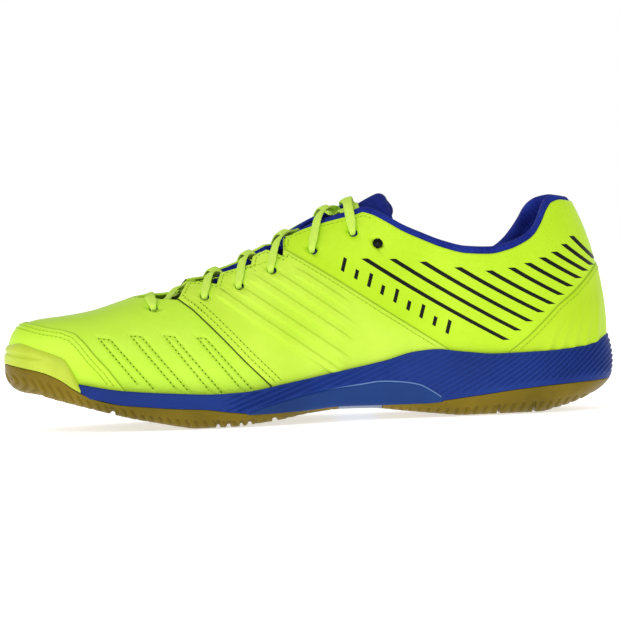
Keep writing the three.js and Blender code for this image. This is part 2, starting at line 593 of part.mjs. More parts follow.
/** From under an eyelet up through it, over its tab, across, and under the other tab to the next one. */
function crossing(k, side, over, to = eyeletXY(k + 1, -side), sway = 0) {
  const from = eyeletXY(k, side);
  const at = way(from, to, sway);
  const span = Math.abs(to[1] - from[1]);
  const near = (Math.abs(from[1] - ridgeY(from[0])) - throatEdge(from[0])) / span;
  const farX = THREE.MathUtils.lerp(from[0], to[0], 0.8);
  const edge = throatEdge(farX) - LINING_SHOWS * smooth(138, 150, farX);
  const far = 1 - (Math.abs(to[1] - ridgeY(to[0])) - edge) / span;
  return [
    ...throughEyelet(from),
    at(0.04, LACE_OVER),
    at(near * 0.6, LACE_OVER + 0.1),
    at(near + 0.06, LACE_OVER),
    at(0.5, (over ? 1.6 : -1.4) - sag(from[0] + 9)),
    at((0.5 + far) / 2 - 0.03, (over ? -1.8 : -4) - sag(from[0] + 9) / 3),
    at(far - 0.12, LACE_UNDER),
    at((far + 1) / 2, LACE_UNDER),
  ];
}

/** The lace's way up through an eyelet. */
const throughEyelet = (at) => [LACE_UNDER, LACE_UNDER + 1.6, -LEATHER, 0.5].map((lift) => offUpper(...at, lift));

/** One half of the lace, from the middle of the first bar to where its tip starts. */
function laceHalf(side) {
  const first = eyeletXY(0, side);
  const bar = way([68.2, ridgeY(68.2)], first);
  const low = way(first, eyeletXY(1, -side));
  const up = side === MEDIAL;
  const points = [
    bar(0, LACE_OVER + 0.2),
    bar(0.5, LACE_OVER + 0.2),
    bar(0.92, LACE_OVER),
    ...throughEyelet(first).reverse(),
    low(0.25, LACE_UNDER),
    low(0.5, up ? -3.2 : LACE_UNDER - 1.1),
    low(0.62, LACE_UNDER),
    low(0.8, LACE_UNDER),
  ];
  let at = -side;
  for (let k = 1; k < 5; k++) {
    points.push(...crossing(k, at, at === MEDIAL));
    at = -at;
  }
  const last = [173, upperYAt(173, 86, -at)];
  points.push(...crossing(5, at, at === MEDIAL, last, 4));
  return { points, tuck: -at };
}

/** Each tail goes down between the tongue and the lining, and its tip hangs inside the shoe. */
function tail(side) {
  const at = (x, z, depth) => {
    const y = upperYAt(x, z, side);
    return offUpper(x, y, -depth);
  };
  return [at(178, 79, 5.5), at(183, 71, 6.6), at(188, 63, 7.4)];
}

/** A round section of a number of sides, swept along the centreline. */
function tube(points, radius, sides) {
  const path = new THREE.CatmullRomCurve3(points, false, "centripetal");
  path.getUtoTmapping = (u) => u; // one section at each point
  const steps = points.length - 1;
  const shape = new THREE.Shape(
    Array.from({ length: sides }, (_, i) => {
      const a = (2 * Math.PI * i) / sides;
      return new THREE.Vector2(radius * Math.cos(a), radius * Math.sin(a));
    }),
  );
  const options = { steps, extrudePath: path, curveSegments: 1, bevelEnabled: false };
  return solid(new THREE.ExtrudeGeometry(shape, options));
}

function makeLace() {
  const halves = SIDES.map((side) => {
    const { points, tuck } = laceHalf(side);
    return [...points, ...tail(tuck)];
  });
  const whole = [...halves[0].reverse(), ...halves[1].slice(1)];
  const tips = [whole.slice(0, 2).reverse(), whole.slice(-2)].map(([before, end]) => {
    const along = end.clone().sub(before).normalize();
    const cylinder = new THREE.CylinderGeometry(AGLET_RADIUS, AGLET_RADIUS, AGLET_LENGTH, 8);
    cylinder.applyQuaternion(new THREE.Quaternion().setFromUnitVectors(new THREE.Vector3(0, 1, 0), along));
    const middle = end.clone().addScaledVector(along, AGLET_LENGTH / 2 + GAP);
    return solid(cylinder.translate(middle.x, middle.y, middle.z));
  });
  return { lace: tube(whole, LACE_RADIUS, 6), tips };
}

const group = new THREE.Group();
const finish = {
  yellow: { color: 0xc8ee4a, roughness: 0.5 },
  blue: { color: 0x1c3a8c, roughness: 0.6 },
  gum: { color: 0x8a6a24, roughness: 0.7 },
};
function add(name, manifold, look) {
  const material = new THREE.MeshStandardMaterial({ ...finish[look], metalness: 0 });
  const mesh = new THREE.Mesh(geometryFrom(manifold), material);
  mesh.name = name;
  group.add(mesh);
  }

const [frontSole, backSole] = makeOutsoles();
add("outsole_forefoot", frontSole, "gum");
add("outsole_heel", backSole, "gum");
add("arch_shank", makeShank(), "blue");
add("toe_bumper", makeBumper(), "yellow");
add("midsole", midsoleWhole.subtract(makeHeelPad(GAP)), "blue");
add("heel_cushion_pad", makeHeelPad(0), "blue");
add("strobel_board", makeFloorLayer(0, () => GAP, () => GAP + BOARD), "gum");
add("sockliner", makeFloorLayer(0.4, () => 2 * GAP + BOARD, () => 2 * GAP + BOARD + SOCKLINER), "blue");
for (const [name, piece] of Object.entries(splitSkin())) add(name, piece, "yellow");
add("vamp_lining", linings.vamp_lining, "blue");
add("collar_lining", linings.collar_lining, "blue");
add("collar_foam", makeFoam(), "gum");
add("heel_counter", makeHeelCounter(), "gum");
add("toe_puff", makeToePuff(), "gum");
const COVER = 1.1;
add("tongue_cover", makeTongueLayer(() => 0, () => COVER, 0), "blue");
add("tongue_foam", makeTongueLayer(() => COVER + GAP, (x) => COVER + GAP + tongueThick(x), 1.5), "gum");
const tongueBack = (x) => COVER + 2 * GAP + 0.2 + tongueThick(x);
add("tongue_lining", makeTongueLayer(tongueBack, (x) => COVER + tongueBack(x), 0.5), "blue");

const { lace, tips } = makeLace();
add("lace", lace, "yellow");
add("lace_tip_medial", tips[0], "yellow");
add("lace_tip_lateral", tips[1], "yellow");

const box = new THREE.Box3().setFromObject(group);
group.position.set(-(box.min.x + box.max.x) / 2, -(box.min.y + box.max.y) / 2, -box.min.z);
const assembly = new THREE.Group().add(group);
export default assembly;
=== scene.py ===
# An indoor court shoe for the right foot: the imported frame, then every visible piece of it.
# Shapes are worked out in millimetres with the toe tip at x = 0 and go into the meshes in metres.
import math
import bmesh
import bpy
import numpy as np
from mathutils import Matrix, Vector


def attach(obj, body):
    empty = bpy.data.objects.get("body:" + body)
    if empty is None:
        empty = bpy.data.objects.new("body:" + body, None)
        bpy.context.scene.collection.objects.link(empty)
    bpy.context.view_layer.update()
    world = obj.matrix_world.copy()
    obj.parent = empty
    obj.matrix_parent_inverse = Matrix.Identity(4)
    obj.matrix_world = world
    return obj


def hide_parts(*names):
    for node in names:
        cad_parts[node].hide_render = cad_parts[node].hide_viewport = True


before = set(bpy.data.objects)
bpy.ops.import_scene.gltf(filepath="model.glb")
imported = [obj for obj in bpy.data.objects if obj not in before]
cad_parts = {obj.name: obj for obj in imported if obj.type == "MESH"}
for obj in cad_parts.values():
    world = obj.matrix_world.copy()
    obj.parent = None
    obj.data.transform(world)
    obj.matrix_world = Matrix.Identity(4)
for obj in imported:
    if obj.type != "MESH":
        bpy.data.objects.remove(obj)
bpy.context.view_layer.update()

toFrame = np.array([-145.935, -0.514, 0.0])
medial, lateral = -1, 1

# camera and light: a long lens, a little towards the toe and slightly above, like a catalogue side view

cameraPlace = {"aim": (0.0014, 0.0, 0.0521), "yaw": 2.4, "rise": 2.0, "roll": 2.3, "distance": 2.6, "lens": 314.5}


def placeCamera(spec):
    data = bpy.data.cameras.new("sideCamera")
    data.lens = spec["lens"]
    camera = bpy.data.objects.new("sideCamera", data)
    bpy.context.scene.collection.objects.link(camera)
    yaw, rise, roll = (math.radians(spec[k]) for k in ("yaw", "rise", "roll"))
    forward = Vector((math.sin(yaw) * math.cos(rise), math.cos(yaw) * math.cos(rise), -math.sin(rise)))
    right = forward.cross(Vector((0, 0, 1))).normalized()
    up = right.cross(forward)
    rolledRight = right * math.cos(roll) - up * math.sin(roll)
    rolledUp = up * math.cos(roll) + right * math.sin(roll)
    where = Vector(spec["aim"]) - forward * spec["distance"]
    axes = Matrix((rolledRight, rolledUp, -forward)).transposed().to_4x4()
    camera.matrix_world = Matrix.Translation(where) @ axes
    bpy.context.scene.camera = camera


placeCamera(cameraPlace)

lampPlaces = {
    "softboxFront": {"place": (-0.5, -1.2, 1.1), "aim": (0, 0, 0.05), "size": 0.7, "power": 6.2},
    "softboxLeft": {"place": (-1.3, -1.0, 0.7), "aim": (0, 0, 0.05), "size": 0.5, "power": 2.2},
    "rimBehind": {"place": (0.7, 1.1, 0.9), "aim": (0, 0, 0.06), "size": 0.8, "power": 1.6},
}


def placeLamps(places):
    for name, spec in places.items():
        data = bpy.data.lights.new(name, "AREA")
        data.shape, data.size, data.energy = "DISK", spec["size"], spec["power"]
        lamp = bpy.data.objects.new(name, data)
        bpy.context.scene.collection.objects.link(lamp)
        away = Vector(spec["place"]) - Vector(spec["aim"])
        turned = away.to_track_quat("Z", "Y").to_matrix().to_4x4()
        lamp.matrix_world = Matrix.Translation(Vector(spec["place"])) @ turned


placeLamps(lampPlaces)
world = bpy.data.worlds.new("paleStudio")
bpy.context.scene.world = world
world.use_nodes = True
skyTree = world.node_tree  # white at eye level, dimmer overhead, so that the lamps shape the tops
skyWay = skyTree.nodes.new("ShaderNodeSeparateXYZ")
skyFade = skyTree.nodes.new("ShaderNodeMapRange")
skyTree.links.new(skyTree.nodes.new("ShaderNodeTexCoord").outputs["Generated"], skyWay.inputs["Vector"])
skyTree.links.new(skyWay.outputs["Z"], skyFade.inputs["Value"])
for key, value in {"From Min": 0.12, "From Max": 0.7, "To Min": 1.0, "To Max": 0.4}.items():
    skyFade.inputs[key].default_value = value
skyTree.links.new(skyFade.outputs["Result"], skyTree.nodes["Background"].inputs["Strength"])
skyTree.nodes["Background"].inputs["Color"].default_value = (1, 1, 1, 1)
bpy.context.scene.view_settings.view_transform = "Standard"
print("camera and lights placed")

# smooth curves and the shoe's own surfaces


def smoothCurve(points):
    # a curve that never overshoots its points: cubic pieces whose slopes are harmonic means
    xs, ys = np.array(points, float).T
    steps = np.diff(ys) / np.diff(xs)
    slopes = np.concatenate([steps[:1], np.zeros(len(xs) - 2), steps[-1:]])
    a, b = steps[:-1], steps[1:]
    same = a * b > 0
    slopes[1:-1][same] = 2 * a[same] * b[same] / (a[same] + b[same])

    def at(x):
        x = np.clip(np.asarray(x, float), xs[0], xs[-1])
        i = np.clip(np.searchsorted(xs, x, side="right") - 1, 0, len(xs) - 2)
        h = xs[i + 1] - xs[i]
        t = (x - xs[i]) / h
        return ((2 * t**3 - 3 * t**2 + 1) * ys[i] + (t**3 - 2 * t**2 + t) * h * slopes[i]
                + (3 * t**2 - 2 * t**3) * ys[i + 1] + (t**3 - t**2) * h * slopes[i + 1])

    return at


def smoothStep(a, b, x):
    t = np.clip((np.asarray(x, float) - a) / (b - a), 0, 1)
    return t * t * (3 - 2 * t)


shoeLength = 292
centreY = smoothCurve([[0, -7], [40, -2.5], [80, -0.5], [120, 1.8], [150, 3.7], [180, 4], [220, 2], [260, 0.3],
                       [292, 0]])
halfWidth = smoothCurve([[0, 38], [20, 42], [40, 45.4], [60, 47.9], [82, 50], [100, 50.5], [120, 49.2], [140, 45.3],
                         [160, 41], [180, 38], [200, 36.5], [220, 36.3], [250, 36], [275, 34.6], [292, 34]])
groundZ = smoothCurve([[0, 18.6], [10, 17.9], [18.5, 15.8], [30, 13], [45, 9.2], [59, 5.7], [73, 2.9], [82, 1.1],
                       [90, 0], [109, 0], [118, 0.8], [131, 2.1], [145, 4.4], [160, 5.6], [175, 5.2], [190, 3.2],
                       [205, 1.2], [218, 0], [256, 0], [266, 1.1], [292, 3]])
gumTopZ = smoothCurve([[0, 33], [8.8, 31], [18.5, 28.6], [26.6, 24.8], [31.4, 21.4], [36, 18.6], [43, 15.5],
                       [54, 12.8], [66, 11.4], [80, 10], [95, 8.9], [106, 7.2], [118, 6.1], [140, 6.5], [160, 7.6],
                       [180, 7.2], [198, 7.2], [221, 9.2], [245, 11.9], [262, 13.2], [292, 14.4]])
bumperTopZ = smoothCurve([[0, 42], [5, 43], [14, 40.6], [25, 36.9], [28, 35.2], [30, 32.3], [31.7, 28.5],
                          [34, 23.6], [36.6, 18.9]])
medialRimZ = smoothCurve([[0, 30], [34.6, 23], [54.6, 19.4], [77.6, 17.3], [100, 16], [112, 16.3], [135, 19.6],
                          [158, 23.6], [182, 28.1], [194, 31.3], [205, 32.2], [217, 30.7], [234, 29], [257, 29.3],
                          [280, 31], [292, 35.5]])
lateralRimZ = smoothCurve([[0, 30], [34.6, 23], [54.6, 19.4], [77.6, 17.3], [100, 16], [112, 16.3], [135, 18.8],
                           [158, 21.9], [182, 25.2], [205, 27.6], [234, 28.6], [257, 29.3], [280, 31], [292, 35.5]])
midsoleBottomZ = smoothCurve([[0, 26.5], [18.5, 21.6], [30, 18.2], [38, 16.2], [43, 15.5], [54, 12.8], [66, 11.4],
                              [80, 10], [95, 8.9], [106, 7.2], [118, 6.1], [140, 6.5], [160, 7.6], [180, 7.2],
                              [198, 7.2], [221, 9.2], [245, 11.9], [262, 13.2], [292, 14.4]])
footbedZ = smoothCurve([[0, 31], [12, 28], [30, 22.6], [50, 16.8], [70, 13.4], [90, 12], [110, 12], [130, 13.2],
                        [150, 15.4], [175, 18.4], [200, 21.2], [225, 22.8], [292, 24]])
ridgeZ = smoothCurve([[0, 51.5], [12, 53], [30, 54.4], [42, 56.2], [54, 59.6], [66, 63.4], [84, 68.8], [103, 75],
                      [120, 83], [135, 90.8], [144, 96.2], [156, 102], [169, 108], [182, 114], [197, 119],
                      [217, 121], [292, 118]])
widestZ = smoothCurve([[0, 39.5], [20, 37], [45, 31.5], [70, 28.5], [100, 28], [130, 31.5], [160, 36.5],
                       [200, 38.5], [292, 39.5]])
ridgeY = smoothCurve([[0, -7], [60, -5.5], [100, -4], [140, -2.4], [180, -0.8], [292, 0]])
widthPower = smoothCurve([[0, 5], [15, 4], [35, 3], [60, 2.4], [90, 2.1], [120, 2], [240, 2], [292, 2.2]])
heightPower = smoothCurve([[0, 2], [40, 1.9], [70, 1.55], [110, 1.5], [140, 1.7], [292, 1.7]])
edgeRun = smoothCurve([[0, 10], [25, 7], [60, 5], [200, 5], [250, 8], [280, 16], [292, 19]])
edgeRise = smoothCurve([[0, 10], [25, 8], [60, 5.5], [200, 5.5], [250, 8], [292, 13]])
bellyBelow = smoothCurve([[0, 1], [60, 0.8], [120, 1.2], [200, 2.6], [260, 4], [292, 9]])
bellyAbove = smoothCurve([[0, 0.5], [60, 0.5], [120, 0.8], [200, 1.2], [260, 1.4], [292, 2]])
toeWall = smoothCurve([[0, 3], [30, 3], [37, 0.4], [40, 0], [292, 0]])
toplines = {
    medial: smoothCurve([[150, 140], [168.7, 100.6], [178.4, 97], [184.3, 93.6], [192, 88.8], [199.8, 85], [211, 80.1],
                         [222, 77.1], [233, 76.4], [241.2, 77.9], [249.8, 81.4], [254.3, 84.6], [258.4, 90.4],
                         [261.4, 96.2], [264.3, 99.6], [268, 100.6], [275, 99.6], [300, 99]]),
    lateral: smoothCurve([[150, 140], [168.7, 100.6], [178.4, 96.4], [184.3, 92], [192, 86], [199.8, 81.6],
                          [211, 76.5], [222, 73.4], [233, 73.2], [239, 75.6], [243.5, 79.2], [247, 83.4], [251, 89],
                          [254, 94], [257, 97.2], [261, 99.4], [268, 100.6], [275, 99.6], [300, 99]]),
}
throatPoints = np.array([[62, 0], [63, 6], [66, 11.5], [71, 16], [76, 20], [83, 23], [84.2, 23], [86.6, 12.4], [91, 14], [97, 17.5],
                         [102.8, 21.5],
                         [103.2, 14.5], [110, 16], [119.6, 18.5], [120, 14.2], [127, 14.2], [130, 17], [134.6, 21.5],
                         [135.2, 12.4], [144, 13], [156, 14.2], [169, 15.4], [186, 15.4]])


def throatHalf(x):
    return np.interp(x, throatPoints[:, 0], throatPoints[:, 1], left=-99, right=-99)


def rimZ(x, side):
    return np.where(side == medial, medialRimZ(x), lateralRimZ(x))


def footprint(phi):
    # x runs as a cosine from toe to heel; y is a centre line plus a half width closed by a superellipse at each end
    def endRound(t, n):
        return np.power(np.maximum(0, 1 - np.power(np.clip(1 - t, 0, 1), n)), 1 / n)

    x = shoeLength * (1 - np.cos(phi)) / 2
    w = halfWidth(x) * endRound(x / 70, 2.3) * endRound((shoeLength - x) / 42, 2.2)
    return x, centreY(x) + np.where(np.sin(phi) < 0, w, -w)


def insetFootprint(phi, inset):
    # the footprint moved inwards along its own normal, found from two near points
    step = 1e-3
    x, y = footprint(phi)
    x1, y1 = footprint(phi + step)
    x0, y0 = footprint(phi - step)
    tx, ty = x1 - x0, y1 - y0
    length = np.hypot(tx, ty)
    return x - ty / length * inset, y + tx / length * inset


def ridgeX(x):
    # where a ray from the footprint ends on the ridge: fanned at the toe and at the heel, straight between
    toe = x + 30 * np.power(np.clip(1 - x / 75, 0, 1), 2.5)
    heel = x - 43 * np.square(np.clip((x - 206) / 86, 0, 1))
    return np.where(x < 75, toe, heel)


def upperPoint(phi, v):
    # girth level v: -1 at the board, 0 at the widest line, 1 on the ridge; above it each ray is a superellipse
    phi, v = np.broadcast_arrays(np.asarray(phi, float), np.asarray(v, float))
    footX, _ = footprint(phi)
    wideX, wideY = insetFootprint(phi, 3.4)
    lowX, lowY = insetFootprint(phi, 3.4 + 2 * v * v)
    low = widestZ(footX)
    angle = np.clip(v, 0, 1) * math.pi / 2
    out = np.power(np.clip(np.cos(angle), 0, 1), 2 / widthPower(footX))
    out = np.where(v >= 1, 0, out)
    rise = np.power(np.sin(angle), 2 / heightPower(footX))
    rx = ridgeX(footX)
    ry = ridgeY(footX)
    x = rx + (wideX - rx) * out
    y = ry + (wideY - ry) * out
    z = low + (ridgeZ(x) - low) * rise
    under = v < 0
    lowZ = low + (footbedZ(lowX) + 0.3 - low) * -v
    return np.stack([np.where(under, lowX, x), np.where(under, lowY, y), np.where(under, lowZ, z)], -1)


def unit(a):
    return a / np.maximum(np.linalg.norm(a, axis=-1, keepdims=True), 1e-12)


def upperNormal(phi, v):
    phi, v = np.broadcast_arrays(np.asarray(phi, float), np.asarray(v, float))
    step = 2e-3
    vv = np.clip(v, -0.998, 0.995)
    along = upperPoint(phi + step, vv) - upperPoint(phi - step, vv)
    up = upperPoint(phi, vv + step) - upperPoint(phi, vv - step)
    normal = unit(np.cross(along, up))
    flat = normal * np.array([1, 0, 1])  # on the ridge both sides share one normal
    share = smoothStep(0.985, 0.999, v)[..., None]
    return unit(normal * (1 - share) + unit(flat) * share)


def upperPlace(phi, v, lift=0.0):
    return upperPoint(phi, v) + upperNormal(phi, v) * np.asarray(lift)[..., None]


def levelOver(x, y):
    # the ray and level whose point lies over plan point (x, y), between the toe's fan and the heel's
    phi = np.arccos(np.clip(1 - 2 * x / shoeLength, -1, 1)) * np.where(y > ridgeY(x), -1, 1)
    _, wideY = insetFootprint(phi, 3.4)
    share = np.clip(np.abs((y - ridgeY(x)) / (wideY - ridgeY(x))), 0, 0.999)
    return phi, np.arccos(np.power(share, widthPower(x) / 2)) * 2 / math.pi


def overUpper(x, y, lift=0.0):
    x, y, lift = np.broadcast_arrays(*(np.asarray(a, float) for a in (x, y, lift)))
    return upperPlace(*levelOver(x, y), lift)


def levelAt(x, z, side):
    # solves by Newton steps for the ray and level whose point has this x and this height, as seen from the side
    x, z = np.broadcast_arrays(np.asarray(x, float), np.asarray(z, float))
    phi = np.arccos(np.clip(1 - 2 * x / shoeLength, -0.995, 0.995)) * -side
    v = np.clip((z - widestZ(x)) / (ridgeZ(x) - widestZ(x)), -0.9, 0.9) * 0.7
    step = 1e-4
    for _ in range(14):
        p = upperPoint(phi, v)
        a = (upperPoint(phi + step, v) - p) / step
        b = (upperPoint(phi, v + step) - p) / step
        ex, ez = x - p[..., 0], z - p[..., 2]
        det = a[..., 0] * b[..., 2] - a[..., 2] * b[..., 0]
        det = np.where(np.abs(det) < 1e-6, 1e-6, det)
        phi = phi + np.clip((ex * b[..., 2] - ez * b[..., 0]) / det, -0.2, 0.2)
        v = np.clip(v + np.clip((ez * a[..., 0] - ex * a[..., 2]) / det, -0.15, 0.15), -0.98, 0.985)
        phi = np.clip(phi, 0.02, math.pi) if side == medial else np.clip(phi, -math.pi, -0.02)
    return phi, v


def wallInset(x, z, top):
    # how far the sole's side lies inside the footprint: a rounded bottom edge and a bellied middle
    bottom = groundZ(x)
    below = np.clip(1 - (z - bottom) / edgeRise(x), 0, 1)
    rounding = edgeRun(x) * (1 - np.sqrt(1 - below * below))
    away = (z - bottom - 0.62 * (top - bottom)) / (top - bottom)
    belly = np.where(away < 0, bellyBelow(x) * (away / 0.62) ** 2, bellyAbove(x) * (away / 0.38) ** 2)
    return rounding + belly


def soleTop(phi):
    x, _ = footprint(phi)
    return np.maximum(rimZ(x, np.where(np.sin(phi) < 0, lateral, medial)), bumperTopZ(x))


def solePlace(phi, z, depth=0.0):
    # a point of the sole's side wall at height z, moved inwards by a depth
    x, _ = footprint(phi)
    px, py = insetFootprint(phi, wallInset(x, z, soleTop(phi)) + depth)
    return np.stack(np.broadcast_arrays(px, py, z), -1)


# meshes: quads everywhere, a triangle being a quad whose last two corners are one

madePieces = {}


def gridFaces(rows, columns, around=False, start=0):
    # quads between neighbours of a grid; around joins the last column to the first
    last = columns if around else columns - 1
    r, c = np.meshgrid(np.arange(rows - 1), np.arange(last), indexing="ij")
    a = r * columns + c
    b = r * columns + (c + 1) % columns
    return start + np.stack([a, b, b + columns, a + columns], -1).reshape(-1, 4)


def tidyQuads(quads):
    # a quad with one pair of equal neighbours becomes a triangle; with more pairs it is dropped
    same = quads == np.roll(quads, -1, 1)
    count = same.sum(1)
    quads, same, count = quads[count < 2], same[count < 2], count[count < 2]
    turn = np.where(count == 1, same.argmax(1) - 2, 0)
    quads = np.take_along_axis(quads, (np.arange(4)[None, :] + turn[:, None]) % 4, 1)
    return quads[(quads[:, 0] != quads[:, 2]) & (quads[:, 1] != quads[:, 3])]


def weld(points, faces, near=0.004):
    # one index for all points that round to the same place
    keys = np.round(points / near).astype(np.int64)
    _, first, inverse = np.unique(keys, axis=0, return_index=True, return_inverse=True)
    inverse = inverse.ravel()
    return first, inverse, tidyQuads(inverse[faces])


def rimEdges(faces, count):
    # the edges that only one face has
    edges = np.concatenate([faces[:, [i, (i + 1) % 4]] for i in range(4)])
    edges = edges[edges[:, 0] != edges[:, 1]]
    _, index, times = np.unique(edges.min(1) * count + edges.max(1), return_index=True, return_counts=True)
    return edges[index[times == 1]]


def closeSheet(outer, inner, faces):
    # outer and inner points joined into one sheet of material by walls on its free edges
    count = len(outer)
    rim = rimEdges(faces, count)
    walls = np.stack([rim[:, 1], rim[:, 0], rim[:, 0] + count, rim[:, 1] + count], -1)
    return np.concatenate([outer, inner]), np.concatenate([faces, faces[:, ::-1] + count, walls])


def closedTube(sections):
    # closed sections of one count joined in turn, with a fan of triangles in each end
    rows, n = sections.shape[:2]
    i = np.arange(n)
    size = rows * n
    first = np.stack([(i + 1) % n, i, np.full(n, size), np.full(n, size)], -1)
    last = np.stack([i + size - n, (i + 1) % n + size - n, np.full(n, size + 1), np.full(n, size + 1)], -1)
    points = np.concatenate([sections.reshape(-1, 3), [sections[0].mean(0), sections[-1].mean(0)]])
    return points, np.concatenate([gridFaces(rows, n, around=True), first, last])


def roundTube(path, across, normal, radius, count=8):
    # a round bar along a path: circles in the plane of the two directions given at each point
    turn = np.linspace(0, 2 * math.pi, count, endpoint=False)[None, :, None]
    return closedTube(path[:, None] + radius * (across[:, None] * np.cos(turn) + normal[:, None] * np.sin(turn)))


def putPiece(name, points, faces, look, slot, body="shoe", uv=None, replaces=()):
    # merges doubles, turns the faces outwards and hands the piece to the frame
    mesh = bpy.data.meshes.new(name)
    faces = tidyQuads(np.asarray(faces))
    triangle = faces[:, 2] == faces[:, 3]
    keep = np.ones(faces.shape, bool)
    keep[:, 3] = ~triangle
    flat = faces[keep]
    sizes = np.where(triangle, 3, 4)
    mesh.vertices.add(len(points))
    mesh.vertices.foreach_set("co", ((np.asarray(points) + toFrame) * 0.001).astype(np.float32).ravel())
    mesh.loops.add(len(flat))
    mesh.loops.foreach_set("vertex_index", flat.astype(np.int32))
    mesh.polygons.add(len(sizes))
    mesh.polygons.foreach_set("loop_start", (np.cumsum(sizes) - sizes).astype(np.int32))
    mesh.update(calc_edges=True)
    if uv is not None:
        layer = mesh.uv_layers.new(name="along")
        layer.data.foreach_set("uv", np.asarray(uv, np.float32).reshape(-1, 2)[flat].ravel())
    work = bmesh.new()
    work.from_mesh(mesh)
    bmesh.ops.remove_doubles(work, verts=work.verts, dist=2e-6)
    bmesh.ops.dissolve_degenerate(work, edges=work.edges, dist=1e-7)
    bmesh.ops.recalc_face_normals(work, faces=work.faces)
    loose = [v for v in work.verts if not v.link_faces]
    bmesh.ops.delete(work, geom=loose, context="VERTS")
    work.to_mesh(mesh)
    work.free()
    mesh.polygons.foreach_set("use_smooth", np.full(len(mesh.polygons), True))
    piece = bpy.data.objects.new(name, mesh)
    bpy.context.scene.collection.objects.link(piece)
    mesh.materials.append(look)
    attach(piece, body)
    if replaces:
        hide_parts(*replaces)
    madePieces[name] = piece
    return piece


# finishes, all from nodes on Object coordinates or on a piece's own map


def newLook(name):
    look = bpy.data.materials.new(name)
    look.use_nodes = True
    return look, look.node_tree, look.node_tree.nodes["Principled BSDF"]


def addNode(tree, kind, **settings):
    node = tree.nodes.new(kind)
    for key, value in settings.items():
        if key in node.inputs:
            node.inputs[key].default_value = value
        else:
            setattr(node, key.lower(), value)
    return node


def mottled(tree, coordinate, colours, scale, detail=4.0):
    # a noise ramped between the colours
    noise = addNode(tree, "ShaderNodeTexNoise", Scale=scale, Detail=detail)
    tree.links.new(coordinate, noise.inputs["Vector"])
    ramp = tree.nodes.new("ShaderNodeValToRGB")
    ramp.color_ramp.elements[0].position, ramp.color_ramp.elements[1].position = 0.35, 0.68
    ramp.color_ramp.elements[0].color = (*colours[0], 1)
    ramp.color_ramp.elements[1].color = (*colours[1], 1)
    tree.links.new(noise.outputs["Fac"], ramp.inputs["Fac"])
    return ramp.outputs["Color"]


def bumped(tree, height, strength, distance, before=None):
    bump = addNode(tree, "ShaderNodeBump", Strength=strength, Distance=distance)
    tree.links.new(height, bump.inputs["Height"])
    if before is not None:
        tree.links.new(before, bump.inputs["Normal"])
    return bump.outputs["Normal"]


def leatherLook(name, colours, roughness=0.46, grain=1.0, patch=26.0):
    # coated synthetic: fine pebble grain from cells, a softer wrinkle under it, slight colour drift
    look, tree, shader = newLook(name)
    place = tree.nodes.new("ShaderNodeTexCoord").outputs["Object"]
    tree.links.new(mottled(tree, place, colours, patch), shader.inputs["Base Color"])
    cells = addNode(tree, "ShaderNodeTexVoronoi", Scale=1500.0)
    wrinkle = addNode(tree, "ShaderNodeTexNoise", Scale=420.0, Detail=5.0)
    for node in (cells, wrinkle):
        tree.links.new(place, node.inputs["Vector"])
    soft = bumped(tree, wrinkle.outputs["Fac"], 0.22 * grain, 0.0005)
    tree.links.new(bumped(tree, cells.outputs["Distance"], 0.16 * grain, 0.0003, soft), shader.inputs["Normal"])
    shader.inputs["Roughness"].default_value = roughness
    shader.inputs["Specular IOR Level"].default_value = 0.16
    return look


def rubberLook(name, colours, roughness, patch=60.0, grain=900.0, clear=0.0, gloss=0.15):
    look, tree, shader = newLook(name)
    place = tree.nodes.new("ShaderNodeTexCoord").outputs["Object"]
    tree.links.new(mottled(tree, place, colours, patch, 6.0), shader.inputs["Base Color"])
    speck = addNode(tree, "ShaderNodeTexNoise", Scale=grain, Detail=3.0)
    tree.links.new(place, speck.inputs["Vector"])
    tree.links.new(bumped(tree, speck.outputs["Fac"], 0.12, 0.0003), shader.inputs["Normal"])
    shader.inputs["Roughness"].default_value = roughness
    shader.inputs["Specular IOR Level"].default_value = gloss
    shader.inputs["Coat Weight"].default_value = clear
    shader.inputs["Coat Roughness"].default_value = 0.25
    return look


def meshLook(name, colours, pitch=0.0011, depth=0.6):
    # knitted mesh: two crossed waves make rows of loops, with dimples between them
    look, tree, shader = newLook(name)
    place = tree.nodes.new("ShaderNodeTexCoord").outputs["Object"]
    tree.links.new(mottled(tree, place, colours, 90.0), shader.inputs["Base Color"])
    waves = []
    for turn in ((0.6, 0.5, 0.62), (-0.6, 0.5, 0.62)):
        mapping = tree.nodes.new("ShaderNodeMapping")
        mapping.inputs["Rotation"].default_value = turn
        tree.links.new(place, mapping.inputs["Vector"])
        wave = addNode(tree, "ShaderNodeTexWave", Scale=1 / pitch / 6.3, Distortion=0.6)
        tree.links.new(mapping.outputs["Vector"], wave.inputs["Vector"])
        waves.append(wave.outputs["Fac"])
    both = tree.nodes.new("ShaderNodeMath")
    both.operation = "MULTIPLY"
    tree.links.new(waves[0], both.inputs[0])
    tree.links.new(waves[1], both.inputs[1])
    tree.links.new(bumped(tree, both.outputs["Value"], depth, 0.0006), shader.inputs["Normal"])
    shader.inputs["Roughness"].default_value = 0.85
    shader.inputs["Specular IOR Level"].default_value = 0.1
    shader.inputs["Sheen Weight"].default_value = 0.05
    shader.inputs["Sheen Roughness"].default_value = 0.4
    return look


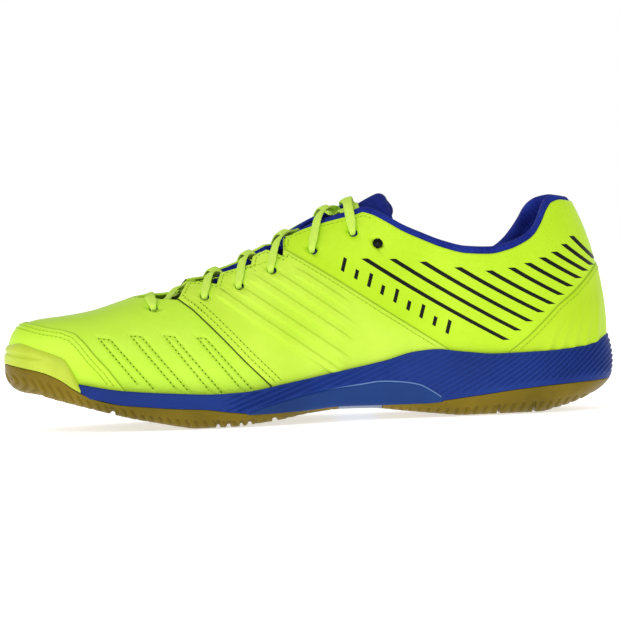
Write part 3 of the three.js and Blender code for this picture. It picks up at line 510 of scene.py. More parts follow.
def laceLook(name, colours):
    # flat braid: chevrons across the width and a rib along it, read from the lace's own map
    look, tree, shader = newLook(name)
    way = tree.nodes.new("ShaderNodeTexCoord").outputs["UV"]
    tree.links.new(mottled(tree, way, colours, 3.0), shader.inputs["Base Color"])
    rows = []
    for slant in (0.9, -0.9):
        mapping = tree.nodes.new("ShaderNodeMapping")
        mapping.inputs["Rotation"].default_value = (0, 0, slant)
        tree.links.new(way, mapping.inputs["Vector"])
        wave = addNode(tree, "ShaderNodeTexWave", Scale=1.3)
        tree.links.new(mapping.outputs["Vector"], wave.inputs["Vector"])
        rows.append(wave.outputs["Fac"])
    both = tree.nodes.new("ShaderNodeMath")
    both.operation = "MAXIMUM"
    tree.links.new(rows[0], both.inputs[0])
    tree.links.new(rows[1], both.inputs[1])
    tree.links.new(bumped(tree, both.outputs["Value"], 0.45, 0.0003), shader.inputs["Normal"])
    shader.inputs["Roughness"].default_value = 0.8
    shader.inputs["Specular IOR Level"].default_value = 0.2
    return look


def srgb(r, g, b):
    # linear values of a colour given as 0 to 255 on a screen
    v = np.array([r, g, b]) / 255
    return tuple(np.where(v <= 0.04045, v / 12.92, ((v + 0.055) / 1.055) ** 2.4))


looks = {
    "vamp": leatherLook("vampLeather", (srgb(190, 234, 58), srgb(199, 240, 72))),
    "toeCap": leatherLook("toeCapLeather", (srgb(196, 238, 58), srgb(204, 244, 74)), 0.42, 0.7),
    "panel": leatherLook("panelLeather", (srgb(194, 232, 60), srgb(208, 242, 80)), 0.44),
    "quarter": leatherLook("quarterLeather", (srgb(186, 228, 34), srgb(198, 238, 48)), 0.44),
    "heelPanel": leatherLook("heelLeather", (srgb(184, 222, 34), srgb(196, 232, 46)), 0.44),
    "bumper": rubberLook("toeRubber", (srgb(186, 206, 58), srgb(198, 216, 70)), 0.42, clear=0.15),
    "gum": rubberLook("gumRubber", (srgb(106, 90, 8), srgb(130, 108, 16)), 0.4, 34.0, clear=0.03),
    "midsole": rubberLook("blueFoamSkin", (srgb(18, 46, 120), srgb(26, 56, 138)), 0.5, 30.0),
    "shank": rubberLook("bluePlate", (srgb(6, 44, 106), srgb(14, 56, 124)), 0.2, 20.0, clear=0.12),
    "lip": rubberLook("clearLip", (srgb(104, 116, 140), srgb(128, 138, 158)), 0.25, 20.0, clear=0.5),
    "rimLine": rubberLook("paleRim", (srgb(92, 122, 176), srgb(110, 140, 190)), 0.3, 20.0),
    "lining": meshLook("blueMesh", (srgb(24, 38, 128), srgb(34, 54, 152))),
    "tongue": meshLook("tongueMesh", (srgb(22, 34, 112), srgb(30, 44, 130))),
    "sockliner": meshLook("socklinerKnit", (srgb(26, 42, 120), srgb(36, 58, 140)), 0.0016, 0.4),
    "lace": laceLook("yellowBraid", (srgb(206, 244, 84), srgb(216, 250, 104))),
    "thread": leatherLook("thread", (srgb(176, 214, 40), srgb(192, 228, 56)), 0.6, 0.3),
    # painted shade: dark dots stand for the shade in the needle holes between stitches, darker on the midfoot and
    # quilting rows, paler elsewhere
    "shadeDot": leatherLook("paintedHoleShade", (srgb(92, 124, 12), srgb(104, 136, 18)), 0.8, 0.2),
    "paleShadeDot": leatherLook("palePaintedHoleShade", (srgb(146, 184, 34), srgb(156, 194, 42)), 0.8, 0.2),
    # painted shade: darker cords along the seams, dark at the hem and faint at the quarter, heel and toe cap seams
    "darkSeamShade": leatherLook("darkSeamShade", (srgb(58, 84, 12), srgb(74, 100, 18)), 0.8, 0.2),
    "faintSeamShade": leatherLook("faintSeamShade", (srgb(150, 186, 36), srgb(160, 196, 44)), 0.8, 0.2),
    "print": leatherLook("blackPrint", (srgb(12, 16, 12), srgb(20, 24, 16)), 0.35, 0.4),
    "aglet": rubberLook("laceTip", (srgb(196, 236, 90), srgb(206, 242, 110)), 0.18, clear=0.8),
    "board": leatherLook("boardFelt", (srgb(30, 42, 100), srgb(40, 52, 116)), 0.9),
    "foam": leatherLook("openFoam", (srgb(200, 198, 186), srgb(214, 212, 200)), 0.95, 1.6),
    "stiffener": leatherLook("stiffenerSheet", (srgb(212, 206, 190), srgb(222, 216, 200)), 0.7),
    "floor": leatherLook("paleFloor", (srgb(252, 252, 252), srgb(255, 255, 255)), 0.8, 0.1, 4.0),
    "cushion": rubberLook("cushionFoam", (srgb(60, 72, 124), srgb(72, 84, 138)), 0.7),
}
for node, key in {"strobel_board": "board", "collar_foam": "foam", "heel_counter": "stiffener",
                  "toe_puff": "stiffener", "heel_cushion_pad": "cushion", "tongue_foam": "foam"}.items():
    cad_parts[node].data.materials.clear()
    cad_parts[node].data.materials.append(looks[key])
print("finishes made")

# upper panels: each is a grid on the upper's surface, from a front seam to a back seam, from the sole to an edge

seams = {
    "toeCap": [[-10, 53.2], [12.6, 51.4], [20.4, 49.6], [29.5, 48], [34.4, 46.2], [38.2, 42.6], [43, 36.4],
               [49, 29.6], [56, 20], [64, 8]],
    "hem": [[94, 76], [87, 66.5], [83.4, 61], [90.5, 55.6], [97.6, 48.4], [104.6, 41], [113.9, 30.7], [125.7, 18.6],
            [136, 6]],
    "quarter": [[135.4, 100], [135.6, 82], [141.8, 78.2], [158, 67.8], [182, 51.4], [199.7, 39.6], [211, 32],
                [240, 10]],
    "heel": [[218, 8], [240.5, 29.8], [248.7, 35.9], [256.4, 42.9], [264, 50.5], [271.7, 56.2], [278.5, 62.5],
             [283, 67.4], [300, 84]],
}


def seamX(name, z):
    # the seam's x at a height, straight between its points and going on straight past its ends
    points = np.array(sorted(seams[name], key=lambda p: p[1]), float)
    zs, xs = points[:, 1], points[:, 0]
    low = xs[0] + (z - zs[0]) * (xs[1] - xs[0]) / (zs[1] - zs[0])
    high = xs[-1] + (z - zs[-1]) * (xs[-1] - xs[-2]) / (zs[-1] - zs[-2])
    return np.where(z < zs[0], low, np.where(z > zs[-1], high, np.interp(z, zs, xs)))


tableLevels = np.concatenate([np.linspace(-0.98, 0.9, 190), np.linspace(0.905, 1.0, 40)])
tableRays = np.linspace(0.0, math.pi, 560)
tables = {side: upperPoint((tableRays * -side)[:, None], tableLevels[None, :]) for side in (medial, lateral)}


def seamRay(name, side, shift=0.0):
    # for each level, the ray at which the surface crosses the seam moved along x by shift
    points = tables[side]
    ahead = points[..., 0] - seamX(name, points[..., 2]) - shift
    ahead = np.maximum.accumulate(ahead, axis=0) + np.arange(len(tableRays))[:, None] * 1e-9
    return np.array([np.interp(0.0, ahead[:, j], tableRays) for j in range(len(tableLevels))])


def edgeGap(points, side):
    # how far inside the throat's edge and the top line a point is; negative in the opening
    x, y, z = np.moveaxis(points, -1, 0)
    throat = np.abs(y - ridgeY(x)) - throatHalf(x)
    throat = np.where((x > 62) & (x < 186), throat, 99)
    top = np.where(x > 160, toplines[side](x) - z, 99)
    return np.minimum(throat, top)


def ribbonGrid(side, startRay, endRay, rows, columns, low=-0.9, width=60):
    # columns spread between two seams, rows from the sole up to where a column meets the edge, closer at the ends
    fine = np.array([0, 0.12, 0.3, 0.55, 0.9])
    s = np.concatenate([fine / width, np.linspace(1.3 / width, 1 - 1.3 / width, columns - 10), 1 - fine[::-1] / width])
    rays = startRay[None, :] + s[:, None] * (endRay - startRay)[None, :]
    points = upperPoint(rays * -side, tableLevels[None, :])
    gap = edgeGap(points, side)
    gap[:, tableLevels < low + 0.05] = 9
    outside = gap < 0
    first = np.where(outside.any(1), outside.argmax(1), len(tableLevels))
    column = np.arange(len(s))
    k = np.clip(first, 1, len(tableLevels) - 1)
    g0, g1 = gap[column, k - 1], gap[column, k]
    share = np.where(first < len(tableLevels), g0 / np.maximum(g0 - g1, 1e-9), 1)
    top = tableLevels[k - 1] + (tableLevels[k] - tableLevels[k - 1]) * np.clip(share, 0, 1)
    tall = np.maximum(spread(points, 1)[column, k], 3)
    t = np.concatenate([np.linspace(0, 1, rows - 5)[:, None] * (1 - 1.3 / tall), 1 - fine[::-1, None] / tall])
    levels = low + (top - low)[None, :] * t
    ray = np.interp(levels, tableLevels, startRay) * (1 - s) + np.interp(levels, tableLevels, endRay) * s
    return ray * -side, levels


def spread(points, axis):
    # running length along an axis of a grid of points
    steps = np.linalg.norm(np.diff(points, axis=axis), axis=-1)
    return np.concatenate([np.zeros_like(np.take(steps, [0], axis)), np.cumsum(steps, axis)], axis)


def rimDistance(points, faces):
    # each point's distance to the nearest of the sheet's free edges
    rim = rimEdges(faces, len(points))
    a, b = points[rim[:, 0]], points[rim[:, 1]]
    along = b - a
    square = np.maximum((along * along).sum(-1), 1e-12)
    near = np.full(len(points), 99.0)
    for part in np.array_split(np.arange(len(points)), max(1, len(points) * len(rim) // 2000000)):
        p = points[part][:, None, :] - a[None]
        t = np.clip((p * along).sum(-1) / square, 0, 1)
        near[part] = np.sqrt((np.square(p - along * t[..., None])).sum(-1).min(1))
    return near


def makePanel(spec, ray, level, faces, look, slot, relief=None, holes=()):
    # welds a grid of rays and levels, punches its eyelets, rounds its edges and gives it its thickness
    ray, level = ray.ravel(), level.ravel()
    base = upperPoint(ray, level)
    first, inverse, faces = weld(base, faces)
    base, ray, level = base[first], ray[first], level[first]
    normal = upperNormal(ray, level)
    edgeNear = rimDistance(base, faces)
    for centre in holes:
        away = base - centre
        reach = np.linalg.norm(away, axis=-1)
        middle = np.linalg.norm(base[faces].mean(1) - centre, axis=-1)
        cut = middle < spec["hole"]
        rim = np.intersect1d(np.unique(faces[cut]), np.unique(faces[~cut]))
        base[rim] = centre + away[rim] / np.maximum(reach[rim, None], 1e-6) * spec["hole"]
        faces = faces[~cut]
    near = rimDistance(base, faces) if len(holes) else edgeNear
    away = np.clip(1 - near / spec["round"], 0, 1)
    height = spec["lift"] - spec["round"] * (1 - np.sqrt(np.maximum(0, 1 - away * away)))
    if relief is not None:
        height = height + relief(base, near)
    outer = base + normal * height[:, None]
    inner = base + normal * (spec["lift"] - spec["thick"])
    points, allFaces = closeSheet(outer, inner, faces)
    putPiece(spec["name"], points, allFaces, look, slot, replaces=spec["replaces"])
    return edgeNear[inverse]


eyelets = [[71.7, 57.4], [96.4, 61.4], [113.1, 65.8], [128.9, 72.6], [148.8, 81.4], [168.5, 89], [179.8, 83.2]]
eyeletPlaces = {side: upperPoint(*levelAt(*np.array(eyelets).T, side)) for side in (medial, lateral)}
panelSpecs = {"thick": 1.6, "round": 0.9, "hole": 2.2}
halfNames = {medial: "medial", lateral: "lateral"}


def creaseRelief(lines, depth, width):
    # soft grooves along lines drawn in side view, as deep as a rounded valley
    def relief(points, near):
        x, z = points[:, 0], points[:, 2]
        nearest = np.full(len(x), 99.0)
        for line in lines:
            for (x0, z0), (x1, z1) in zip(line[:-1], line[1:]):
                dx, dz = x1 - x0, z1 - z0
                t = np.clip(((x - x0) * dx + (z - z0) * dz) / (dx * dx + dz * dz), 0, 1)
                nearest = np.minimum(nearest, np.hypot(x - x0 - t * dx, z - z0 - t * dz))
        return -depth * np.exp(-np.square(nearest / width)) * smoothStep(0.4, 2.5, near)

    return relief


# quilted loops on the vamp: two stitched sides, joined over the top, that lean back to the sole
quiltLoops = [
    [[62.9, 21.6], [45.4, 44.3], [50.9, 43.4], [70, 19.6]],
    [[82, 17.4], [60.6, 45], [65.6, 44.3], [87.4, 16.8]],
    [[97.3, 16.4], [76.4, 44.3], [80.9, 43.6], [102.6, 16]],
    [[112.7, 16.2], [91.7, 43], [96, 42.1], [117.2, 16.6]],
]

toeCapSpec = {**panelSpecs, "name": "toeCapPanel", "lift": 1.1, "replaces": ["toe_cap"]}
vampSpec = {**panelSpecs, "name": "vampPanel", "lift": 0.0, "replaces": ["vamp", "vamp_lining"]}
heelSpec = {**panelSpecs, "name": "heelPanel", "lift": 0.9, "replaces": ["heel_panel"]}


def seamLevel(name, rays, ahead):
    # for each ray, the level where the surface crosses a seam, going up from the sole
    points = upperPoint(rays[:, None], tableLevels[None, :])
    past = (points[..., 0] - seamX(name, points[..., 2])) * ahead
    past[:, tableLevels < -0.85] = -9
    crossed = past > 0
    first = np.where(crossed.any(1), crossed.argmax(1), len(tableLevels) - 1)
    k = np.clip(first, 1, None)
    row = np.arange(len(rays))
    share = np.clip(-past[row, k - 1] / np.maximum(past[row, k] - past[row, k - 1], 1e-9), 0, 1)
    return tableLevels[k - 1] + (tableLevels[k] - tableLevels[k - 1]) * share


def evenRays(count, low, high):
    # rays that cut the footprint into equal lengths
    fine = np.linspace(low, high, 4000)
    run = spread(np.stack(footprint(fine), -1), 0)
    return np.interp(np.linspace(0, run[-1], count), run, fine)


def capGrid(name, rays, ahead, rows):
    top = seamLevel(name, rays, ahead)
    t = np.concatenate([np.linspace(0, 0.965, rows - 5), [0.975, 0.983, 0.99, 0.996, 1]])
    return np.broadcast_to(rays, (rows, len(rays))), -0.9 + (top + 0.9)[None, :] * t[:, None]


# the toe cap
grid = capGrid("toeCap", evenRays(300, -0.98, 0.98), 1, 46)
near = makePanel(toeCapSpec, *grid, gridFaces(46, 300), looks["toeCap"], "toe_cap")
toeCapField = (*grid, near.reshape(46, 300))

# the vamp: two halves that share the ridge and the middle of the toe
parts = []
for side in (medial, lateral):
    parts.append(ribbonGrid(side, seamRay("toeCap", side, -4), seamRay("hem", side, 4), 64, 190, width=70))
evened = (np.abs(parts[0][0]) + np.abs(parts[1][0])) / 2  # near the ridge both halves use the same rays, to be welded
meets = (parts[0][1][-1] > 0.9999) & (parts[1][1][-1] > 0.9999)
evenLevel = (parts[0][1] + parts[1][1]) / 2
parts = [(ray + (np.sign(ray.sum()) * evened - ray) * smoothStep(0.85, 1, level),
          np.where(meets, evenLevel, level)) for ray, level in parts]
faces = np.concatenate([gridFaces(64, 190), gridFaces(64, 190, start=64 * 190)[:, ::-1]])
quilting = creaseRelief(quiltLoops, 0.5, 0.9)
holes = [eyeletPlaces[side][0] for side in (medial, lateral)]
makePanel(vampSpec, np.stack([p[0] for p in parts]), np.stack([p[1] for p in parts]), faces, looks["vamp"],
          "vamp", relief=quilting, holes=holes)

# raised ridges pressed into the midfoot panel, in place of a maker's own stripes
ridgeLines = [[[101, 64], [165, 18]], [[107, 68], [165, 27]], [[118, 70], [166, 36]], [[128, 71.5], [166, 44.5]],
              [[139, 72], [165, 54]]]


def midfootRelief(points, near):
    x, z = points[:, 0], points[:, 2]
    total = np.zeros(len(x))
    for (x0, z0), (x1, z1) in ridgeLines:
        dx, dz = x1 - x0, z1 - z0
        length = math.hypot(dx, dz)
        along = ((x - x0) * dx + (z - z0) * dz) / length
        across = np.abs(((z - z0) * dx - (x - x0) * dz) / length)
        ends = smoothStep(0, 5, along) * smoothStep(0, 9, length - along)
        total += 1.1 * (1 - smoothStep(1.3, 2.3, across)) * ends
    return total * smoothStep(1, 5, near)


# soft flutes that fan over the heel panel
fluteLines = [[[258, 30], [270, 54]], [[264, 30], [274, 55]], [[270, 30], [278, 57]], [[276, 31], [281.5, 59]],
              [[281.5, 32], [284.5, 60]]]


def heelRelief(points, near):
    x, z = points[:, 0], points[:, 2]
    total = np.zeros(len(x))
    for (x0, z0), (x1, z1) in fluteLines:
        middle = x0 + (x1 - x0) * (z - z0) / (z1 - z0)
        share = np.clip((z - z0) / (z1 - z0), 0, 1)
        total += np.exp(-np.square((x - middle) / (1.9 - 0.5 * share))) * (1 - smoothStep(0.45, 1, share))
    return 0.85 * total * smoothStep(1, 5, near)


midfootFields, quarterFields = {}, {}
for side in (medial, lateral):
    start, end = seamRay("hem", side), seamRay("quarter", side)
    grid = ribbonGrid(side, start, end, 70, 200, width=62)
    spec = {**panelSpecs, "name": halfNames[side] + "MidfootPanel", "lift": 0.9,
            "replaces": [halfNames[side] + "_midfoot_panel"]}
    near = makePanel(spec, *grid, gridFaces(70, 200), looks["panel"], "panel", relief=midfootRelief,
                     holes=eyeletPlaces[side][1:4])
    midfootFields[side] = (*grid, near.reshape(70, 200))
    start, end = seamRay("quarter", side, -3), np.full(len(tableLevels), math.pi)
    grid = ribbonGrid(side, start, end, 64, 240, width=150)
    spec = {**panelSpecs, "name": halfNames[side] + "QuarterPanel", "lift": 0.35,
            "replaces": [halfNames[side] + "_quarter"]}
    near = makePanel(spec, *grid, gridFaces(64, 240), looks["quarter"], "quarter", holes=eyeletPlaces[side][4:7])
    quarterFields[side] = (*grid, near.reshape(64, 240))

rays = np.concatenate([evenRays(170, math.pi - 1.06, math.pi), evenRays(170, -math.pi, -math.pi + 1.06)[1:]])
rays = np.where(rays < 0, rays + 2 * math.pi, rays)
grid = capGrid("heel", rays, -1, 40)
near = makePanel(heelSpec, *grid, gridFaces(40, 339), looks["heelPanel"], "heel_panel", relief=heelRelief)
heelField = (*grid, near.reshape(40, 339))
print("upper panels made")


# the sole: midsole with its raised lines, rubber outsoles, arch plate and toe guard

midsoleSpec = {"around": 1500, "wallRows": 34, "rim": 0.9, "ledge": 3.9, "pitch": 2.5, "depth": 1.0}
lineRise = smoothCurve([[90, 0], [200, 43], [245, 68], [292, 106]])
lensMedial = smoothCurve([[113.6, 6.4], [134.1, 11.9], [154.4, 15.8], [167.9, 17.2], [178.1, 18.2], [188.1, 17.5],
                          [196.2, 15.9], [202.8, 12.3], [207.4, 9]])


def roundRays(count):
    # rays all the way round the footprint, evenly along it, starting at the toe
    return evenRays(count + 1, 0.0, 2 * math.pi)[:-1]


def midsoleLines(x, z, low, high):
    # grooves between raised lines that climb towards the heel; none in the forefoot, at the rim or on the arch plate
    wave = 0.5 + 0.5 * np.cos(2 * math.pi * (z - lineRise(x)) / midsoleSpec["pitch"])
    share = (z - low) / (high - low)
    fade = (smoothStep(96, 112, x) * smoothStep(0, 0.06, 1 - share)
            * smoothStep(0.04, 0.12 + 0.2 * smoothStep(200, 290, x), share))
    onPlate = (x > 112) & (x < 208.5)
    plate = np.where(onPlate, smoothStep(0, 0.8, z - lensMedial(x) - 0.6), 1)
    return midsoleSpec["depth"] * wave**1.6 * fade * plate


def makeMidsole(spec):
    phi = roundRays(spec["around"])
    x, _ = footprint(phi)
    side = np.where(np.sin(phi) < 0, lateral, medial)
    low, high = midsoleBottomZ(x), rimZ(x, side)
    rows = []
    for t in np.linspace(0, 1, spec["wallRows"]):
        z = low + (high - spec["rim"] - low) * t
        rows.append(solePlace(phi, z, toeWall(x) + midsoleLines(x, z, low, high)))
    for turn in np.radians([22, 45, 68, 90]):
        z = high - spec["rim"] * (1 - math.sin(turn))
        rows.append(solePlace(phi, z, toeWall(x) + spec["rim"] * (1 - math.cos(turn))))
    rows.append(solePlace(phi, high - 0.2, np.maximum(spec["ledge"], toeWall(x) + 1.5)))
    for drop, inset in ((0.4, 6.2), (1.0, 7.4)):
        px, py = insetFootprint(phi, inset)
        rows.append(np.stack([px, py, footbedZ(x) * drop + (high - 2) * (1 - drop)], -1))
    stack = np.array(rows)
    n = len(phi)
    i = np.arange(n // 2)
    across = np.stack([i, i + 1, (n - i - 1) % n, (n - i) % n], -1)
    faces = np.concatenate([gridFaces(len(rows), n, around=True), across[:, ::-1], across + (len(rows) - 1) * n])
    putPiece("midsoleFoam", stack.reshape(-1, 3), faces, looks["midsole"], "midsole", replaces=["midsole"])


makeMidsole(midsoleSpec)

treadSpec = {"pitch": 4.4, "zigzag": 9.0, "amount": 5.6, "groove": 0.22, "depth": 0.9}
flexCuts = [[50.5, 1.3], [100, 1.0], [105, 1.2], [111, 1.0], [115, 1.2], [127, 1.4], [234, 0.9], [251, 0.9]]


def gridNormals(points, around):
    # unit normals of a grid of sections, from differences along both of its directions
    along = np.gradient(points, axis=0)
    if around:
        across = np.roll(points, -1, 1) - np.roll(points, 1, 1)
    else:
        across = np.gradient(points, axis=1)
    return unit(np.cross(along, across))


def treadGroove(x, y, height, tall):
    # herringbone: stripes across the shoe pushed to and fro by a zigzag, deep below and fading up the wall
    zigzag = np.abs((y / treadSpec["zigzag"]) % 2 - 1)
    phase = ((x + treadSpec["amount"] * zigzag) / treadSpec["pitch"]) % 1
    cut = 1 - smoothStep(treadSpec["groove"] * 0.5, treadSpec["groove"] * 0.5 + 0.12, np.abs(phase - 0.5))
    depth = treadSpec["depth"] * cut * (0.5 + 0.5 * smoothStep(0.02, 0.2, height / tall))
    for place, half in flexCuts:
        depth = np.maximum(depth, 1.5 * (1 - smoothStep(half * 0.6, half, np.abs(x - place))))
    reach = np.where(x < 62, 0.78, 0.5)
    fade = 1 - smoothStep(reach - 0.15, reach, height / tall)
    return depth * fade


def makeOutsole(name, low, high, node, sections, rows=22, across=120, inner=30):
    # sections across the shoe: down one wall, over the bottom, up the other wall and back under the midsole
    fine = np.linspace(0.03, math.pi - 0.03, 4000)
    fx, _ = footprint(fine)
    inside = (fx >= low) & (fx <= high)
    run = spread(np.stack(footprint(fine), -1), 0)
    phi = np.interp(np.linspace(run[inside][0], run[inside][-1], sections), run, fine)
    x, _ = footprint(phi)
    bottom, top = groundZ(x), gumTopZ(x) - 0.15
    t = np.concatenate([[1, 0.985, 0.96], np.linspace(0.9, 0, rows - 3) ** 1.35])
    lip = np.concatenate([[0.35, 0.1, 0], np.zeros(rows - 3)])
    z = bottom[:, None] + (top - bottom)[:, None] * t[None, :]
    wall = {side: solePlace((phi * -side)[:, None], z, lip[None, :]) for side in (medial, lateral)}
    a, b = wall[medial][:, -1], wall[lateral][:, -1]
    u = np.linspace(0, 1, across + 2)[1:-1]
    under = a[:, None] + (b - a)[:, None] * u[None, :, None]
    c, d = wall[lateral][:, 0], wall[medial][:, 0]
    back = c[:, None] + (d - c)[:, None] * np.linspace(0, 1, inner + 2)[1:-1][None, :, None]
    ring = np.concatenate([wall[medial], under, wall[lateral][:, ::-1], back], 1)
    height = ring[..., 2] - bottom[:, None]
    wide = halfWidth(x)[:, None]
    onWall = np.zeros(ring.shape[1], bool)
    onWall[:rows] = onWall[rows + across:2 * rows + across] = True
    y = np.where(onWall[None, :], np.sign(ring[..., 1]) * (wide + height), ring[..., 1])
    depth = treadGroove(ring[..., 0], y, np.where(onWall[None, :], height, 0), (top - bottom)[:, None])
    depth[:, 2 * rows + across:] = 0
    depth[:, [0, 1, 2 * rows + across - 1, 2 * rows + across - 2]] = 0
    ends = np.minimum(np.arange(sections), np.arange(sections)[::-1])
    depth *= smoothStep(0, 4, ends)[:, None]
    normal = gridNormals(ring, True)
    outward = normal[sections // 2, rows + across // 2, 2] < 0
    ring = ring - normal * depth[..., None] * (1 if outward else -1)
    points, faces = closedTube(ring)
    putPiece(name, points, faces, looks["gum"], "gum", replaces=[node])


makeOutsole("forefootOutsole", 0.2, 158, "outsole_forefoot", 440)
makeOutsole("heelOutsole", 179, 291.9, "outsole_heel", 360)

bumperSpec = {"reach": 35.6, "columns": 260, "rows": 46, "lip": 2.2, "thick": 3.2, "groove": 0.9}


def makeBumper(spec):
    # the toe guard: the sole's wall from the rubber up to its own top line, with one long groove
    reach = math.acos(1 - 2 * spec["reach"] / shoeLength)
    phi = evenRays(spec["columns"], -reach, reach)
    x, _ = footprint(phi)
    t = np.linspace(0, 1, spec["rows"])[:, None]
    low, high = gumTopZ(x) + 0.1, bumperTopZ(x)
    z = low + (high - low) * t
    grooveZ = 38.2 - 0.16 * x
    groove = spec["groove"] * np.exp(-np.square((z - grooveZ) / 0.85)) * (1 - smoothStep(14, 19, x))
    edge = 0.5 * (1 - smoothStep(0, 0.05, 1 - t)) + 0.3 * (1 - smoothStep(0, 0.04, t))
    ends = 0.6 * (1 - smoothStep(0, 3.0, reach * 100 - np.abs(phi) * 100))
    outer = solePlace(phi, z, spec["lip"] * t**6 + groove + edge + ends)
    inner = solePlace(phi, z, spec["lip"] * t**6 + spec["thick"] + 0 * x)
    points, faces = closeSheet(outer.reshape(-1, 3), inner.reshape(-1, 3), gridFaces(spec["rows"], spec["columns"]))
    putPiece("toeGuard", points, faces, looks["bumper"], "bumper", replaces=["toe_bumper"])


makeBumper(bumperSpec)


archSpec = {"lensFrom": 113.7, "lensTo": 207.3, "proud": 0.45, "rimFrom": 150, "rimTo": 206.5, "rim": 0.34,
            "plateFrom": 158.2, "plateTo": 178.8}


def makeArch(spec):
    # two smooth lenses on the midsole's sides, and the plate under the arch that joins the outsoles
    made = []
    for side in (medial, lateral):
        x = np.linspace(spec["lensFrom"], spec["lensTo"], 220)
        phi = np.arccos(1 - 2 * x / shoeLength) * -side
        t = np.linspace(0, 1, 26)[:, None]
        low, high = gumTopZ(x) - 0.6, np.maximum(lensMedial(x), gumTopZ(x) - 0.55)
        z = low + (high - low) * t
        rim = np.minimum((1 - t) * (high - low), np.minimum(x - spec["lensFrom"], spec["lensTo"] - x) * 0.3)
        proud = spec["proud"] * smoothStep(0, 0.5, rim)
        outer = solePlace(phi, z, -proud)
        inner = solePlace(phi, z, 1.2 + 0 * x)
        made.append(closeSheet(outer.reshape(-1, 3), inner.reshape(-1, 3), gridFaces(26, 220)))
    points = np.concatenate([m[0] for m in made])
    faces = np.concatenate([made[0][1], made[1][1] + len(made[0][0])])
    putPiece("archLenses", points, faces, looks["shank"], "shank")
    rims = []
    for side in (medial, lateral):
        x = np.linspace(spec["rimFrom"], spec["rimTo"], 200)
        phi = np.arccos(1 - 2 * x / shoeLength) * -side
        path = solePlace(phi, lensMedial(x) - 0.1, -0.15 + 0 * x)
        outward = unit(np.stack([0 * x, np.full(len(x), float(side)), 0 * x], -1))
        size = spec["rim"] * smoothStep(0, 20, x - spec["rimFrom"])[:, None, None]
        rims.append(roundTube(path, outward, np.tile([0, 0, 1.0], (len(x), 1)), size))
    points = np.concatenate([r[0] for r in rims])
    faces = np.concatenate([rims[0][1], rims[1][1] + len(rims[0][0])])
    putPiece("archLensRims", points, faces, looks["rimLine"], "shank")
    x = np.linspace(spec["plateFrom"], spec["plateTo"], 80)
    phi = np.arccos(1 - 2 * x / shoeLength)
    top, bottom = gumTopZ(x) - 0.1, groundZ(x)
    t = np.concatenate([[1, 0.94], np.linspace(0.86, 0, 9)])
    z = bottom[:, None] + (top - bottom)[:, None] * t
    lip = np.array([0.3, 0.05] + [0] * 9)[None, :]
    a, b = (solePlace((phi * -side)[:, None], z, lip) for side in (medial, lateral))
    u = np.linspace(0, 1, 62)[1:-1][None, :, None]
    under = a[:, -1:] + (b[:, -1:] - a[:, -1:]) * u
    rib = (0.5 * (0.5 + 0.5 * np.cos(under[..., 1:2] / 9 * 2 * math.pi))
           * smoothStep(0, 6, x - spec["plateFrom"])[:, None, None])
    under[..., 2:] += rib * smoothStep(0, 6, spec["plateTo"] - x)[:, None, None]
    back = b[:, :1] + (a[:, :1] - b[:, :1]) * np.linspace(0, 1, 22)[1:-1][None, :, None]
    points, faces = closedTube(np.concatenate([a, under, b[:, ::-1], back], 1))
    putPiece("archPlate", points, faces, looks["lip"], "shank", replaces=["arch_shank"])


makeArch(archSpec)
print("sole made")

# the loose insole: knit over foam, with a turned-up rim at the heel and round edges
floorInset = smoothCurve([[0, 10.6], [48, 10.6], [64, 9.2], [80, 9.4], [97, 11.7], [115, 11.7], [160, 11.4],
                          [205, 12.6], [292, 12.6]])
insoleSpec = {"around": 700, "low": 2.2, "high": 6.4, "round": 1.6, "cup": 1.4}


def makeInsole(spec):
    phi = roundRays(spec["around"])
    x, _ = footprint(phi)
    rows = []

    def ring(inset, lift):
        px, py = insetFootprint(phi, floorInset(x) + 0.4 + inset)
        rows.append(np.stack([px, py, footbedZ(px) + lift], -1))

    ring(0.9, spec["low"])
    ring(0.25, spec["low"] + 0.4)
    for turn in np.radians([0, 25, 50, 75, 90]):
        ring(spec["round"] * (1 - math.cos(turn)) * 0.8, spec["high"] - spec["round"] * (1 - math.sin(turn)) + 0 * x)
    for inset in np.linspace(2.4, 14, 12):
        cup = spec["cup"] * smoothStep(0, 1, (inset - 1) / 13)
        ring(inset, spec["high"] - cup * smoothStep(170, 230, x) * 0.8 - 0.15 * smoothStep(2, 14, inset))
    last = rows[-1]
    n = len(phi)
    i = np.arange(n // 2)
    for share in np.linspace(0.15, 0.9, 6):
        mirror = last[(n - np.arange(n)) % n]
        rows.append(last + (mirror - last) * share / 2)
    across = np.stack([i, i + 1, (n - i - 1) % n, (n - i) % n], -1)
    stack = np.array(rows)
    faces = np.concatenate([gridFaces(len(rows), n, around=True), across[:, ::-1], across + (len(rows) - 1) * n])
    putPiece("looseInsole", stack.reshape(-1, 3), faces, looks["sockliner"], "sockliner", "insole",
             replaces=["sockliner"])


makeInsole(insoleSpec)

# the padded collar: one closed profile carried along the opening's edge, over the leather, down inside to the footbed
collarSpec = {"start": 136.5, "columns": 520, "rise": 4.0, "wall": 1.2, "fill": 0.7}


def liningDepth(x, z, side):
    top = np.where(side == medial, toplines[medial](np.clip(x, 170, 274)), toplines[lateral](np.clip(x, 170, 274)))
    pad = 3.2 * smoothStep(172, 204, x) * smoothStep(0, 1, (z - top + 30) / 20)
    return 1.9 + 1.5 * (1 - smoothStep(46, 58, x)) + 1.7 * smoothStep(172, 210, x) + pad


